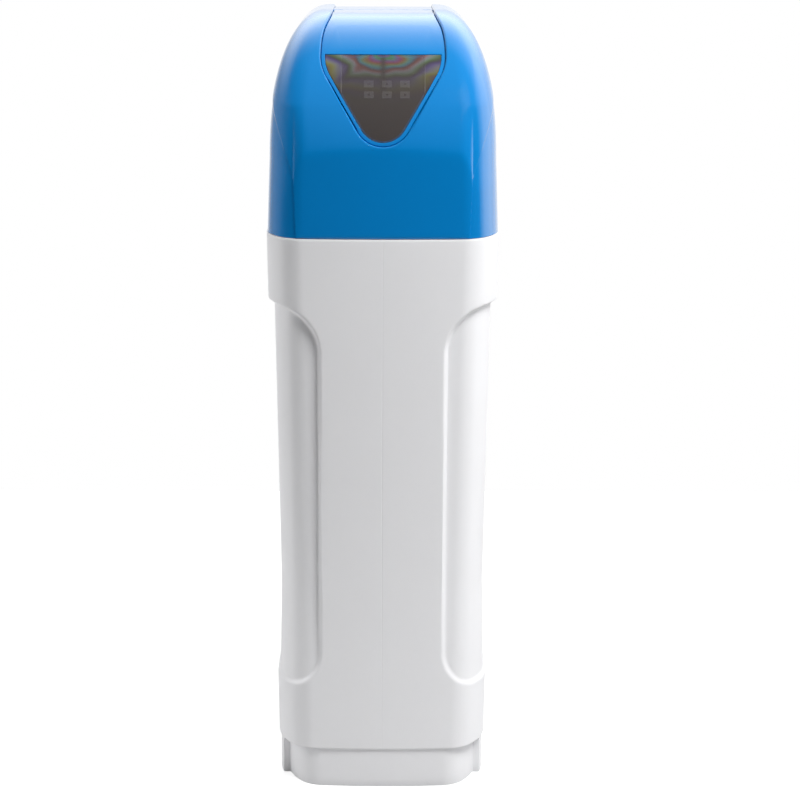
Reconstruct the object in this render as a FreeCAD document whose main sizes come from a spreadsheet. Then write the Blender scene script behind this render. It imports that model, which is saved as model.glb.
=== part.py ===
"""Cabinet water filter: a tall brine cabinet with a lift-off hood, and the softening plant inside it.

Millimetres. +Z is up, the front faces -Y, and the origin is on the floor at the middle of the footprint.
"""
import FreeCAD
import Part
import math
import os

import Sketcher
from FreeCAD import Placement, Rotation, Vector

SIZE_TABLE = (
    # cabinet
    ("overall_height", "1134", "floor to the crest of the hood"),
    ("seam_height", "825", "floor to the seam between cabinet and hood"),
    ("seam_gap", "0.3", "gap in the seam"),
    ("half_width", "168", "half the width at the seam"),
    ("half_width_foot", "155.5", "half the width at the plinth"),
    ("front_reach", "250", "origin to the front at the seam"),
    ("front_reach_foot", "241", "origin to the front at the plinth"),
    ("rear_reach", "236", "origin to the rear at the seam"),
    ("rear_reach_foot", "228", "origin to the rear at the plinth"),
    ("corner_tight", "45", "front corner, radius next to the front"),
    ("corner_wide", "122", "front corner, radius next to the side"),
    ("corner_rear", "48", "rear corner radius"),
    ("cabinet_wall", "4", "wall of the cabinet"),
    ("floor_wall", "6", "floor of the cabinet"),
    ("plinth_height", "60", "height of the plinth"),
    ("plinth_inset", "3", "plinth behind the body all round"),
    ("plinth_front_inset", "13.5", "front block of the plinth behind the body's side"),
    ("plinth_front_depth", "62", "depth of the front block of the plinth"),
    ("arch_height", "2", "hollow under the plinth between the four feet"),
    ("arch_foot", "52", "width of each foot beside the hollow"),
    ("recess_depth", "9", "depth of the side recess"),
    ("recess_depth_low", "4", "depth of the side recess at its lower end"),
    ("recess_edge", "88", "centre line to the edge of the recess on the front"),
    ("recess_bottom", "155", "floor to the lower end of the recess"),
    ("recess_top", "729", "floor to the upper end of the recess"),
    ("recess_ramp_top", "300", "floor to where the recess reaches full depth"),
    ("recess_radius_low", "53", "lower corners of the recess"),
    ("recess_radius_high", "70", "upper corners of the recess"),
    ("recess_rear", "178", "origin to the rear end of the recess"),
    ("recess_lip", "3.2", "rounding of the recess edge"),
    ("rim_height", "9", "inner rim that the hood drops over"),
    ("rim_wall", "2.4", "thickness of that rim"),
    ("rim_clearance", "0.7", "hood skirt to rim"),
    # hood
    ("hood_wall", "3.6", "wall of the hood"),
    ("hood_side_start", "930", "floor to where the hood's sides start to curve in"),
    ("hood_side_half", "164.3", "half the width where the sides start to curve in"),
    ("hood_crest_half", "84", "half the width of the flat crest"),
    ("hood_break", "951", "floor to where the front starts to lean back"),
    ("hood_arc_base", "900", "floor to the centre of the front arc"),
    ("hood_arc_reach", "230", "length of the front arc, front to back"),
    ("hood_rear_radius", "62", "rear shoulder radius"),
    ("cheek_step", "1.4", "depth of the side cheek"),
    ("cheek_front", "7", "front face to the cheek"),
    ("cheek_base", "880", "floor to the start of the cheek's arc"),
    ("cheek_top", "1066", "floor to the top of the cheek"),
    ("cheek_arc", "293", "length of the cheek's arc, front to back"),
    ("cheek_rear", "214", "origin to the rear of the cheek"),
    ("shield_half", "89", "half the width of the shield at its shoulders"),
    ("shield_crest_half", "75", "half the width of the shield on the crest"),
    ("shield_shoulder", "1079", "floor to the shoulders of the shield"),
    ("shield_ease_end", "25", "origin to where the shield reaches its crest width"),
    ("shield_tip", "955", "floor to the tip of the shield"),
    ("shield_tip_radius", "42", "rounding of the tip"),
    ("shield_depth", "4.2", "lid surface below the hood"),
    ("ledge_width", "7", "ledge that the lid rests on"),
    ("ledge_wall", "3", "thickness of that ledge"),
    ("lid_wall", "4", "wall of the lid"),
    ("lid_shelf", "1.2", "shelf under the window"),
    ("lid_shelf_width", "3", "width of that shelf"),
    ("lid_gap", "0.9", "gap round the lid"),
    ("lid_seat", "0.3", "gap between lid and ledge"),
    ("lid_rear", "62", "origin to the rear edge of the lid"),
    ("window_border", "6.2", "lid border beside the window"),
    ("window_top", "1081", "floor to the top edge of the window"),
    ("window_wall", "2.1", "thickness of the window"),
    ("window_gap", "0.35", "gap round the window"),
    ("window_sink", "0.5", "window surface below the lid surface"),
    ("hinge_radius", "3.4", "hinge knuckle radius"),
    ("hinge_pin_radius", "1.5", "hinge pin radius"),
    ("hinge_play", "0.08", "pin to knuckle bore"),
    ("knuckle_length", "24", "length of one knuckle"),
    ("knuckle_gap", "0.5", "gap between knuckles"),
    ("notch_half", "86", "half the width of the pipe opening at the rear"),
    ("notch_top", "1036", "floor to the top of the pipe opening"),
    ("notch_radius", "24", "corners of the pipe opening"),
    # pressure vessel
    ("vessel_y", "84", "origin to the vessel's axis"),
    ("vessel_radius", "128.5", "vessel radius"),
    ("vessel_wall", "3.5", "vessel wall"),
    ("vessel_height", "893", "vessel, tip to top of neck"),
    ("vessel_lift", "8", "cabinet floor to the vessel's tip"),
    ("dome_crown", "190", "crown radius of the vessel's ends"),
    ("dome_knuckle", "50", "knuckle radius of the vessel's ends"),
    ("neck_radius", "46", "vessel neck radius"),
    ("neck_bore", "31.75", "vessel neck bore"),
    ("neck_length", "26", "vessel neck length"),
    ("boot_height", "110", "base cup height"),
    ("boot_wall", "2.5", "base cup wall"),
    ("boot_ring", "86", "radius of the ring under the vessel"),
    ("fit_gap", "0.3", "gap between fixed pieces"),
    ("riser_radius", "13.3", "riser tube radius"),
    ("riser_wall", "2.2", "riser tube wall"),
    ("strainer_radius", "24", "strainer radius"),
    ("strainer_length", "96", "strainer length"),
    ("strainer_wall", "3", "strainer wall"),
    ("slot_pitch", "8", "strainer slot spacing"),
    ("slot_width", "3", "strainer slot width"),
    ("bed_height", "560", "cabinet floor to the top of the resin"),
    # control valve
    ("valve_flange_radius", "54", "valve flange radius"),
    ("valve_flange", "14", "valve flange thickness"),
    ("valve_rise", "62", "flange to the piston axis"),
    ("barrel_radius", "38", "valve barrel radius"),
    ("barrel_bore", "30", "valve barrel bore"),
    ("barrel_front", "40", "vessel axis to the front of the barrel"),
    ("barrel_rear", "58", "vessel axis to the rear of the barrel"),
    ("barrel_end", "10", "closed end of the barrel"),
    ("port_spacing", "36", "centre line to each port"),
    ("port_radius", "18", "port radius"),
    ("port_bore", "12.5", "port bore"),
    ("port_length", "34", "barrel to the end of the ports"),
    ("ring_count_pitch", "14", "spacer ring spacing"),
    ("ring_height", "10", "spacer ring height"),
    ("piston_radius", "20.6", "piston radius"),
    ("piston_length", "46", "piston length"),
    ("rod_radius", "5", "piston rod radius"),
    ("cap_thickness", "9", "barrel cap thickness"),
    # power head
    ("head_half", "62", "half the width of the power head"),
    ("head_bottom", "936", "floor to the bottom of the power head"),
    ("head_top", "1092", "floor to the top of the power head"),
    ("head_depth", "41", "depth of the power head"),
    ("head_wall", "2.6", "power head wall"),
    ("head_edge", "9", "rounding of the power head's corners"),
    ("bracket_thickness", "4", "drive bracket"),
    ("board_thickness", "1.6", "circuit board"),
    ("key_width", "13.6", "key width"),
    ("key_height", "9.6", "key height"),
    ("key_gap", "0.3", "gap round each key"),
    ("key_pitch_x", "27", "spacing of the key columns"),
    ("key_pitch_z", "16", "spacing of the key rows"),
    ("key_shift", "5.7", "key columns right of the centre line"),
    ("key_row", "1016", "floor to the middle of the keys"),
    ("screen_width", "72", "screen width"),
    ("screen_height", "22", "screen height"),
    ("screen_row", "1054", "floor to the middle of the screen"),
    ("motor_radius", "12", "motor radius"),
    ("motor_length", "20", "motor length"),
    ("gear_radius", "30", "drive gear pitch radius"),
    ("pinion_radius", "6", "motor pinion pitch radius"),
    ("gear_width", "5", "gear width"),
    # bypass and pipework
    ("bypass_radius", "21", "bypass chamber radius"),
    ("bypass_height", "52", "bypass chamber height"),
    ("bypass_gap", "0.3", "valve port to bypass"),
    ("rotor_play", "0.3", "rotor to chamber"),
    ("handle_length", "44", "bypass handle length"),
    ("handle_width", "14", "bypass handle width"),
    ("handle_height", "10", "bypass handle height"),
    ("nipple_radius", "16.6", "pipe connection outer radius"),
    ("nipple_bore", "11", "pipe connection bore"),
    ("pipe_reach", "250", "origin to the end of the pipe connections"),
    # brine
    ("well_x", "82", "centre line to the brine well"),
    ("well_y", "148", "origin to the brine well"),
    ("well_radius", "45", "brine well radius"),
    ("well_wall", "2.5", "brine well wall"),
    ("well_height", "700", "brine well height"),
    ("well_slot_width", "4", "brine well slot width"),
    ("well_slot_height", "60", "brine well slot height"),
    ("well_cap_lip", "14", "brine well cap lip"),
    ("well_cap_top", "3", "brine well cap thickness"),
    ("safety_radius", "17", "safety valve radius"),
    ("safety_height", "60", "safety valve height"),
    ("float_radius", "26", "float radius"),
    ("float_height", "58", "float height"),
    ("float_drop", "250", "safety valve to the float"),
    ("float_rod_radius", "2.5", "float rod radius"),
    ("grid_height", "96", "floor to the top of the salt grid"),
    ("grid_wall", "4", "salt grid thickness"),
    ("brine_tube_radius", "4.75", "brine tube radius"),
    ("brine_tube_bore", "3.2", "brine tube bore radius"),
    ("overflow_x", "96", "centre line to the overflow"),
    ("overflow_height", "690", "floor to the overflow"),
    ("overflow_radius", "9", "overflow spigot radius"),
    ("overflow_bore", "6.4", "overflow bore"),
)

CROWN_ANGLE = math.radians(5.0)
TIGHT_ANGLE = math.radians(55.0)
SIDE_POWER_UP = 2.3
SIDE_POWER_ACROSS = 2.1
FLANK_ANGLE = math.radians(59.0)
BIG = 600.0

doc = FreeCAD.newDocument("cabinet_water_filter")
nodes = {}


class Size:
    """A length: its value, and the sheet expression that gives it."""

    def __init__(self, value, text):
        self.value = float(value)
        self.text = text

    def __float__(self):
        return self.value

    def _with(self, other, sign, value, turned=False):
        other_text = other.text if isinstance(other, Size) else repr(float(other))
        pair = (other_text, self.text) if turned else (self.text, other_text)
        return Size(value, "(%s %s %s)" % (pair[0], sign, pair[1]))

    def __add__(self, other):
        return self._with(other, "+", self.value + float(other))

    def __radd__(self, other):
        return self._with(other, "+", self.value + float(other), True)

    def __sub__(self, other):
        return self._with(other, "-", self.value - float(other))

    def __rsub__(self, other):
        return self._with(other, "-", float(other) - self.value, True)

    def __mul__(self, other):
        return self._with(other, "*", self.value * float(other))

    def __rmul__(self, other):
        return self._with(other, "*", self.value * float(other), True)

    def __truediv__(self, other):
        return self._with(other, "/", self.value / float(other))

    def __neg__(self):
        return Size(-self.value, "(-1 * %s)" % self.text)


def root(size):
    """The square root of a size."""
    return Size(math.sqrt(size.value), "sqrt(%s)" % size.text)


class Sheet:
    """The driving dimensions: a spreadsheet of plain numbers, read here by name."""

    def __init__(self, table):
        self.sheet = doc.addObject("Spreadsheet::Sheet", "sizes")
        for row, (alias, value, note) in enumerate(table, start=1):
            self.sheet.set("A%d" % row, alias)
            self.sheet.set("B%d" % row, value)
            self.sheet.set("C%d" % row, note)
            self.sheet.setAlias("B%d" % row, alias)
        doc.recompute()

    def __getattr__(self, alias):
        return Size(self.sheet.get(alias), "sizes." + alias)


S = Sheet(SIZE_TABLE)


# What every piece is made with

def bind(thing, name, value):
    """Sets a property, from the sheet where the value is a size."""
    if isinstance(value, Size):
        thing.setExpression(name, value.text)
    else:
        setattr(thing, name, value)


def place(thing, x=0.0, y=0.0, z=0.0, rotation=None):
    """Places an object, each coordinate from the sheet where it is a size."""
    thing.Placement = Placement(Vector(float(x), float(y), float(z)), rotation or Rotation())
    for axis, value in (("x", x), ("y", y), ("z", z)):
        if isinstance(value, Size):
            thing.setExpression("Placement.Base." + axis, value.text)
    return thing


UPRIGHT = Rotation()
TO_REAR = Rotation(Vector(1, 0, 0), -90)
TO_FRONT = Rotation(Vector(1, 0, 0), 90)
TO_RIGHT = Rotation(Vector(0, 1, 0), 90)
TO_LEFT = Rotation(Vector(0, 1, 0), -90)


def primitive(kind, name, at=(0, 0, 0), rotation=UPRIGHT, **sizes):
    """A Part primitive with its sizes and its place bound to the sheet."""
    thing = doc.addObject("Part::" + kind, name)
    for key, value in sizes.items():
        bind(thing, key, value)
    return place(thing, *at, rotation=rotation)


def rod(name, radius, length, at=(0, 0, 0), rotation=UPRIGHT):
    """A solid cylinder."""
    return primitive("Cylinder", name, at, rotation, Radius=radius, Height=length)


def block(name, size, at):
    """A box from its low corner."""
    return primitive("Box", name, at, Length=size[0], Width=size[1], Height=size[2])


def cut(name, base, *tools):
    """The base less its tools."""
    made = doc.addObject("Part::Cut", name)
    made.Base = base
    made.Tool = tools[0] if len(tools) == 1 else fuse(name + "_tools", *tools)
    return made


def fuse(name, *shapes):
    """All the shapes as one."""
    made = doc.addObject("Part::MultiFuse", name)
    made.Shapes = list(shapes)
    return made


def common(name, *shapes):
    """What all the shapes share."""
    made = doc.addObject("Part::MultiCommon", name)
    made.Shapes = list(shapes)
    return made


def feature(name, shape):
    """A piece whose shape is worked out here."""
    made = doc.addObject("Part::Feature", name)
    made.Shape = shape
    return made


def node(label, thing):
    """Marks an object as a finished piece, named for its file."""
    thing.Label = label
    nodes[label] = thing
    return thing


# Outlines: each is a list of edges, and an edge is (start, end, None) or (start, end, (centre, radius))

def plan_outline(half, front, rear, inset=0.0):
    """The rounded plan shared by cabinet and hood: a crowned front, two-arc corners and a square rear.

    Every arc is tangent to the next, so an inset of all its sizes is a true parallel curve.
    """
    half, front, rear = half - inset, front - inset, rear - inset
    tight, wide, back = S.corner_tight - inset, S.corner_wide - inset, S.corner_rear - inset
    sin_a, cos_a = math.sin(CROWN_ANGLE), math.cos(CROWN_ANGLE)
    sin_b, cos_b = math.sin(TIGHT_ANGLE), math.cos(TIGHT_ANGLE)
    crown = (half - tight * (sin_b - sin_a) - wide * (1.0 - sin_b)) / sin_a
    crown_y = crown - front
    p1 = (crown * sin_a, crown_y - crown * cos_a)
    c1 = ((crown - tight) * sin_a, crown_y - (crown - tight) * cos_a)
    p2 = (c1[0] + tight * sin_b, c1[1] - tight * cos_b)
    c2 = (c1[0] - (wide - tight) * sin_b, c1[1] + (wide - tight) * cos_b)
    p3 = (half, c2[1])
    p4 = (half, rear - back)
    c4 = (half - back, rear - back)
    p5 = (half - back, rear)

    def left(point):
        return (-point[0], point[1])

    return [
        (left(p1), p1, ((0.0, crown_y), crown)),
        (p1, p2, (c1, tight)),
        (p2, p3, (c2, wide)),
        (p3, p4, None),
        (p4, p5, (c4, back)),
        (p5, left(p5), None),
        (left(p5), left(p4), (left(c4), back)),
        (left(p4), left(p3), None),
        (left(p3), left(p2), (left(c2), wide)),
        (left(p2), left(p1), (left(c1), tight)),
    ]


def arc_angles(start, end, centre):
    """The angles of an arc that runs anticlockwise from start to end."""
    a0 = math.atan2(float(start[1]) - float(centre[1]), float(start[0]) - float(centre[0]))
    a1 = math.atan2(float(end[1]) - float(centre[1]), float(end[0]) - float(centre[0]))
    return a0, a1 if a1 > a0 else a1 + 2 * math.pi


def draw(sketch, outline):
    """Draws an outline in a sketch, every corner and radius driven by the sheet."""

    def pin(geometry, end, axis, value):
        if abs(float(value)) < 1e-9:
            line = -2 if axis == "X" else -1
            sketch.addConstraint(Sketcher.Constraint("PointOnObject", geometry, end, line))
            return
        index = sketch.addConstraint(
            Sketcher.Constraint("Distance" + axis, -1, 1, geometry, end, float(value)))
        if isinstance(value, Size):
            sketch.setExpression("Constraints[%d]" % index, value.text)

    first = sketch.GeometryCount
    for start, end, arc in outline:
        if arc is None:
            sketch.addGeometry(Part.LineSegment(
                Vector(float(start[0]), float(start[1]), 0), Vector(float(end[0]), float(end[1]), 0)))
            continue
        centre, radius = arc
        a0, a1 = arc_angles(start, end, centre)
        circle = Part.Circle(Vector(float(centre[0]), float(centre[1]), 0), Vector(0, 0, 1), float(radius))
        sketch.addGeometry(Part.ArcOfCircle(circle, a0, a1))
    count = len(outline)
    for i in range(count):
        sketch.addConstraint(Sketcher.Constraint("Coincident", first + i, 2, first + (i + 1) % count, 1))
    for i, (start, _, arc) in enumerate(outline):
        pin(first + i, 1, "X", start[0])
        pin(first + i, 1, "Y", start[1])
        if arc is not None:
            index = sketch.addConstraint(Sketcher.Constraint("Radius", first + i, float(arc[1])))
            if isinstance(arc[1], Size):
                sketch.setExpression("Constraints[%d]" % index, arc[1].text)
    return sketch


def new_body(name):
    """An empty body."""
    return doc.addObject("PartDesign::Body", name)


def sketch_in(body, name, plane, outlines, lift=0.0):
    """A sketch on one of the body's own planes, lifted along that plane's normal."""
    sketch = body.newObject("Sketcher::SketchObject", name)
    support = [f for f in body.Origin.OriginFeatures if f.Role == plane][0]
    sketch.AttachmentSupport = [(support, "")]
    sketch.MapMode = "FlatFace"
    sketch.AttachmentOffset = Placement(Vector(0, 0, float(lift)), Rotation())
    if isinstance(lift, Size):
        sketch.setExpression("AttachmentOffset.Base.z", lift.text)
    for outline in outlines:
        draw(sketch, outline)
    return sketch


def revolved(name, outline, at=(0, 0, 0), rotation=UPRIGHT, angle=360.0):
    """A body turned about its own Z axis from an outline of (radius, height) corners."""
    body = new_body(name)
    sketch = sketch_in(body, name + "_profile", "XZ_Plane", [outline])
    turn = body.newObject("PartDesign::Revolution", name + "_turn")
    turn.Profile = sketch
    turn.ReferenceAxis = (sketch, ["V_Axis"])
    turn.Angle = angle
    return place(body, *at, rotation=rotation)


def padded(name, outlines, plane, length, at=(0, 0, 0), both_ways=False, reverse=False):
    """A body padded from outlines on one of its planes."""
    body = new_body(name)
    sketch = sketch_in(body, name + "_outline", plane, outlines)
    pad = body.newObject("PartDesign::Pad", name + "_pad")
    pad.Profile = sketch
    bind(pad, "Length", length)
    pad.Midplane = both_ways
    pad.Reversed = reverse
    return place(body, *at)


def lofted(name, sections, ruled=True):
    """A body lofted through level outlines, each given as (outline, height)."""
    body = new_body(name)
    sketches = [
        sketch_in(body, "%s_level_%d" % (name, i), "XY_Plane", [outline], height)
        for i, (outline, height) in enumerate(sections)
    ]
    loft = body.newObject("PartDesign::AdditiveLoft", name + "_loft")
    loft.Profile = sketches[0]
    loft.Sections = sketches[1:]
    loft.Ruled = ruled
    return body


# Cabinet

def envelope(height):
    """Half width, front and rear reach of the drafted body at a height between plinth and seam."""
    share = (height - S.plinth_height) / (S.seam_height - S.plinth_height)
    return (
        S.half_width_foot + (S.half_width - S.half_width_foot) * share,
        S.front_reach_foot + (S.front_reach - S.front_reach_foot) * share,
        S.rear_reach_foot + (S.rear_reach - S.rear_reach_foot) * share,
    )


def recess_zone(name, inset):
    """The stretch of wall that the side recesses cover: its outline from the front, and from the side."""
    low, high = S.recess_bottom - inset, S.recess_top + inset
    edge, rear = S.recess_edge - inset, S.recess_rear + inset
    r_low, r_high = S.recess_radius_low + inset, S.recess_radius_high + inset
    far = S.half_width + 40.0
    fore = S.front_reach + 40.0

    def from_front(side):
        if side > 0:
            return [
                ((edge, high - r_high), (edge, low + r_low), None),
                ((edge, low + r_low), (edge + r_low, low), ((edge + r_low, low + r_low), r_low)),
                ((edge + r_low, low), (far, low), None),
                ((far, low), (far, high), None),
                ((far, high), (edge + r_high, high), None),
                ((edge + r_high, high), (edge, high - r_high), ((edge + r_high, high - r_high), r_high)),
            ]
        return [
            ((-edge, low + r_low), (-edge, high - r_high), None),
            ((-edge, high - r_high), (-edge - r_high, high), ((-edge - r_high, high - r_high), r_high)),
            ((-edge - r_high, high), (-far, high), None),
            ((-far, high), (-far, low), None),
            ((-far, low), (-edge - r_low, low), None),
            ((-edge - r_low, low), (-edge, low + r_low), ((-edge - r_low, low + r_low), r_low)),
        ]

    fronts = [
        padded("%s_front_%s" % (name, word), [from_front(side)], "XZ_Plane", 4 * BIG, both_ways=True)
        for word, side in (("right", 1), ("left", -1))
    ]
    sides = padded(name + "_side", [[
        ((-fore, low), (rear - r_low, low), None),
        ((rear - r_low, low), (rear, low + r_low), ((rear - r_low, low + r_low), r_low)),
        ((rear, low + r_low), (rear, high - r_high), None),
        ((rear, high - r_high), (rear - r_high, high), ((rear - r_high, high - r_high), r_high)),
        ((rear - r_high, high), (-fore, high), None),
        ((-fore, high), (-fore, low), None),
    ]], "YZ_Plane", 4 * BIG, both_ways=True)
    return common(name, fuse(name + "_fronts", *fronts), sides)


def tank_form(name, inset, bottom):
    """The cabinet's drafted body with both side recesses, at a given distance inside its surface."""
    top = S.seam_height + inset * 2.0
    low = S.plinth_height
    outer = lofted(name + "_outer", [
        (plan_outline(*envelope(low), inset=inset), low + inset),
        (plan_outline(*envelope(top), inset=inset), top),
    ])
    waist = [
        (S.plinth_height - 20.0, S.recess_depth_low),
        (S.recess_bottom, S.recess_depth_low),
        (S.recess_ramp_top, S.recess_depth),
        (S.seam_height + 20.0, S.recess_depth),
    ]
    core = lofted(name + "_core", [
        (plan_outline(*envelope(height), inset=depth + inset), height) for height, depth in waist
    ])
    recess = cut(name + "_recess", recess_zone(name + "_zone", inset), core)
    form = cut(name + "_waisted", outer, recess)
    half, front, rear = envelope(S.plinth_height)
    clear = S.plinth_inset + inset
    split = S.plinth_front_depth - front
    rear_block = common(
        name + "_plinth_rear",
        lofted(name + "_plinth_form", [
            (plan_outline(half, front, rear, inset=clear), bottom),
            (plan_outline(half, front, rear, inset=clear), S.plinth_height + inset + 2.0),
        ]),
        block(name + "_plinth_rear_box", (2 * BIG, BIG, BIG), (-BIG, split + inset, -10.0)),
    )
    front_half = half - (S.plinth_front_inset - S.plinth_inset)
    front_block = common(
        name + "_plinth_front",
        lofted(name + "_plinth_nose", [
            (plan_outline(front_half, front, rear, inset=clear), bottom),
            (plan_outline(front_half, front, rear, inset=clear), S.plinth_height + inset + 2.0),
        ]),
        block(name + "_plinth_front_box", (2 * BIG, BIG, BIG), (-BIG, split + 60.0 - BIG, -10.0)),
    )
    return fuse(name, form, rear_block, front_block)


def make_cabinet():
    """The moulded brine cabinet: drafted body, waisted sides, plinth with four feet, and the rim."""
    outer = tank_form("tank_outside", 0.0, 0.0)
    doc.recompute()
    rounded = doc.addObject("Part::Fillet", "tank_rounded")
    rounded.Base = outer
    rounded.Edges = [(i, float(S.recess_lip), float(S.recess_lip)) for i in recess_edges(outer.Shape)]
    inner = tank_form("tank_inside", S.cabinet_wall, S.floor_wall)
    arch_across = block(
        "arch_across",
        (2 * BIG, S.front_reach_foot + S.rear_reach_foot - S.arch_foot * 3.0, S.arch_height),
        (-BIG, S.arch_foot * 1.5 - S.front_reach_foot, 0.0),
    )
    arch_along = block(
        "arch_along",
        (2.0 * (S.half_width_foot - S.plinth_front_inset - S.arch_foot), 2 * BIG, S.arch_height),
        (-(S.half_width_foot - S.plinth_front_inset - S.arch_foot), -BIG, 0.0),
    )
    trimmed = cut("tank_shell", rounded, inner, arch_across, arch_along,
                  block("tank_trim", (2 * BIG, 2 * BIG, BIG), (-BIG, -BIG, S.seam_height)))
    reach = S.hood_wall + S.rim_clearance
    half, front, rear = S.half_width, S.front_reach, S.rear_reach
    rim_low = S.seam_height - S.cabinet_wall * 3.0
    root_reach = S.cabinet_wall - 1.0

    def ring(name, outside, inside, low, high):
        return cut(
            name,
            lofted(name + "_outside", [
                (plan_outline(half, front, rear, inset=outside), low),
                (plan_outline(half, front, rear, inset=outside), high),
            ]),
            lofted(name + "_inside", [
                (plan_outline(half, front, rear, inset=inside), low - 5.0),
                (plan_outline(half, front, rear, inset=inside), high + 5.0),
            ]),
        )

    rim = fuse(
        "rim_rings",
        ring("rim_root", root_reach, reach + S.rim_wall, rim_low, S.seam_height),
        cut("rim", ring("rim_lip", reach, reach + S.rim_wall, rim_low + 4.0, S.seam_height + S.rim_height),
            block("rim_gap", (S.notch_half * 2.0 + 4.0, 120.0, BIG),
                  (-S.notch_half - 2.0, S.rear_reach - 60.0, S.seam_height))),
    )
    drain_hole = rod("overflow_hole", S.overflow_radius + S.fit_gap, 60.0,
                     (-S.overflow_x, S.rear_reach_foot - 30.0, S.overflow_height), TO_REAR)
    node("cabinet_shell", cut("cabinet_shell", fuse("tank_with_rim", trimmed, rim), drain_hole))


def recess_edges(shape):
    """The numbers of the edges where the recess wall meets the cabinet's outer skin."""
    found = []
    low, high = float(S.recess_bottom), float(S.recess_top)
    for number, edge in enumerate(shape.Edges, start=1):
        box = edge.BoundBox
        if box.ZMin < low - 1.0 or box.ZMax > high + 1.0:
            continue
        middle = edge.valueAt((edge.FirstParameter + edge.LastParameter) / 2)
        half, front, rear = (float(v) for v in envelope(Size(middle.z, "0")))
        if on_outline(middle, half, front, rear):
            found.append(number)
    return found


def on_outline(point, half, front, rear):
    """Whether a point lies on the body's outer skin at its height."""
    wire = wire_of(plan_outline(Size(half, "0"), Size(front, "0"), Size(rear, "0")), point.z)
    return wire.distToShape(Part.Vertex(point))[0] < 0.05


def wire_of(outline, z):
    """An outline as a wire at a height."""
    edges = []
    for start, end, arc in outline:
        p0, p1 = (Vector(float(p[0]), float(p[1]), z) for p in (start, end))
        if arc is None:
            edges.append(Part.LineSegment(p0, p1).toShape())
            continue
        centre, radius = arc
        a0, a1 = arc_angles(start, end, centre)
        middle = Vector(
            float(centre[0]) + float(radius) * math.cos((a0 + a1) / 2),
            float(centre[1]) + float(radius) * math.sin((a0 + a1) / 2), z)
        edges.append(Part.Arc(p0, middle, p1).toShape())
    return Part.Wire(edges)


# Hood

def offset_profile(points, inset):
    """A profile of (reach, height) points moved inwards along its own normals."""
    moved = []
    last = len(points) - 1
    for i, (reach, height) in enumerate(points):
        r0, z0 = points[max(i - 1, 0)]
        r1, z1 = points[min(i + 1, last)]
        length = math.hypot(r1 - r0, z1 - z0)
        moved.append((reach - inset * (z1 - z0) / length, height + inset * (r1 - r0) / length))
    return moved


def reach_at(profile, height):
    """The reach of a profile at a height."""
    for (r0, z0), (r1, z1) in zip(profile, profile[1:]):
        if z0 <= height <= z1 and z1 > z0:
            return r0 + (r1 - r0) * (height - z0) / (z1 - z0)
    return profile[-1][0] if height > profile[-1][1] else profile[0][0]


def side_profile():
    """Half the hood's width, from below the seam to the crest."""
    start, half = float(S.hood_side_start), float(S.hood_side_half)
    crest_half, rise = float(S.hood_crest_half), float(S.overall_height) - float(S.hood_side_start)
    slope = (float(S.half_width) - half) / (start - float(S.seam_height))
    points = [(half + slope * (start - z), z) for z in (start - 120.0, start - 60.0, start - 2.0)]
    steps = 240
    for i in range(steps):
        angle = math.pi / 2 * i / steps
        points.append((
            crest_half + (half - crest_half) * math.cos(angle) ** (2 / SIDE_POWER_ACROSS),
            start + rise * math.sin(angle) ** (2 / SIDE_POWER_UP)))
    points.append((crest_half, float(S.overall_height)))
    points.append((crest_half - 1.0, float(S.overall_height)))
    return points


def front_profile():
    """The front's reach above the break line, up to the crest."""
    base, reach = float(S.hood_arc_base), float(S.hood_arc_reach)
    rise = float(S.overall_height) - base
    first = math.asin((float(S.hood_break) - base) / rise)
    centre = float(S.front_reach) - reach * math.cos(first)
    steps = 120
    points = []
    for i in range(-6, steps + 1):
        angle = first + (math.pi / 2 - first) * i / steps
        points.append((centre + reach * math.cos(angle), base + rise * math.sin(angle)))
    points.append((centre - 1.0, float(S.overall_height)))
    return points


def rear_profile():
    """The rear's reach, from below the seam to the crest."""
    radius = float(S.hood_rear_radius)
    top, rear = float(S.overall_height), float(S.rear_reach)
    lean = 4.0
    points = [(rear + lean / 20, float(S.seam_height) - 15.0), (rear, float(S.seam_height))]
    steps = 60
    for i in range(steps + 1):
        angle = math.pi / 2 * i / steps
        across, up = radius * math.cos(angle), radius * math.sin(angle)
        points.append((rear - lean - radius + across, top - radius + up))
    points.append((rear - lean - radius - 1.0, top))
    return points


class HoodForm:
    """The hood's outer surface and the surfaces parallel to it, as solids of level outlines."""

    def __init__(self):
        self.sides = side_profile()
        self.fronts = front_profile()
        self.rears = rear_profile()
        self.solids = {}

    def outline(self, height, inset, above):
        """The plan at a height, for the surface a given distance inside the hood."""
        side = offset_profile(self.sides, inset)
        half = reach_at(side, height)
        front = float(S.front_reach) - inset
        if above:
            front = reach_at(offset_profile(self.fronts, inset), height)
        rear = reach_at(offset_profile(self.rears, inset), height)
        scale = reach_at(self.sides, height) / float(S.half_width)
        return scaled_outline(half, front, rear, scale, inset)

    def solid(self, inset):
        """All that lies inside the surface at an inset."""
        inset = round(float(inset), 4)
        if inset not in self.solids:
            lean = math.radians(12.4)
            split = float(S.hood_break) - inset * math.tan(lean / 2)
            low = float(S.seam_height) - 8.0
            crest = float(S.overall_height) - inset
            lower = [low + (split - low) * i / 4 for i in range(5)]
            steps = 15
            upper = [split + (crest - split) * math.sin(math.pi / 2 * i / steps) for i in range(steps + 1)]
            below = Part.makeLoft([wire_of(self.outline(z, inset, False), z) for z in lower], True, False)
            over = Part.makeLoft([wire_of(self.outline(z, inset, True), z) for z in upper], True, False)
            self.solids[inset] = below.fuse(over)
        return self.solids[inset]


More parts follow.
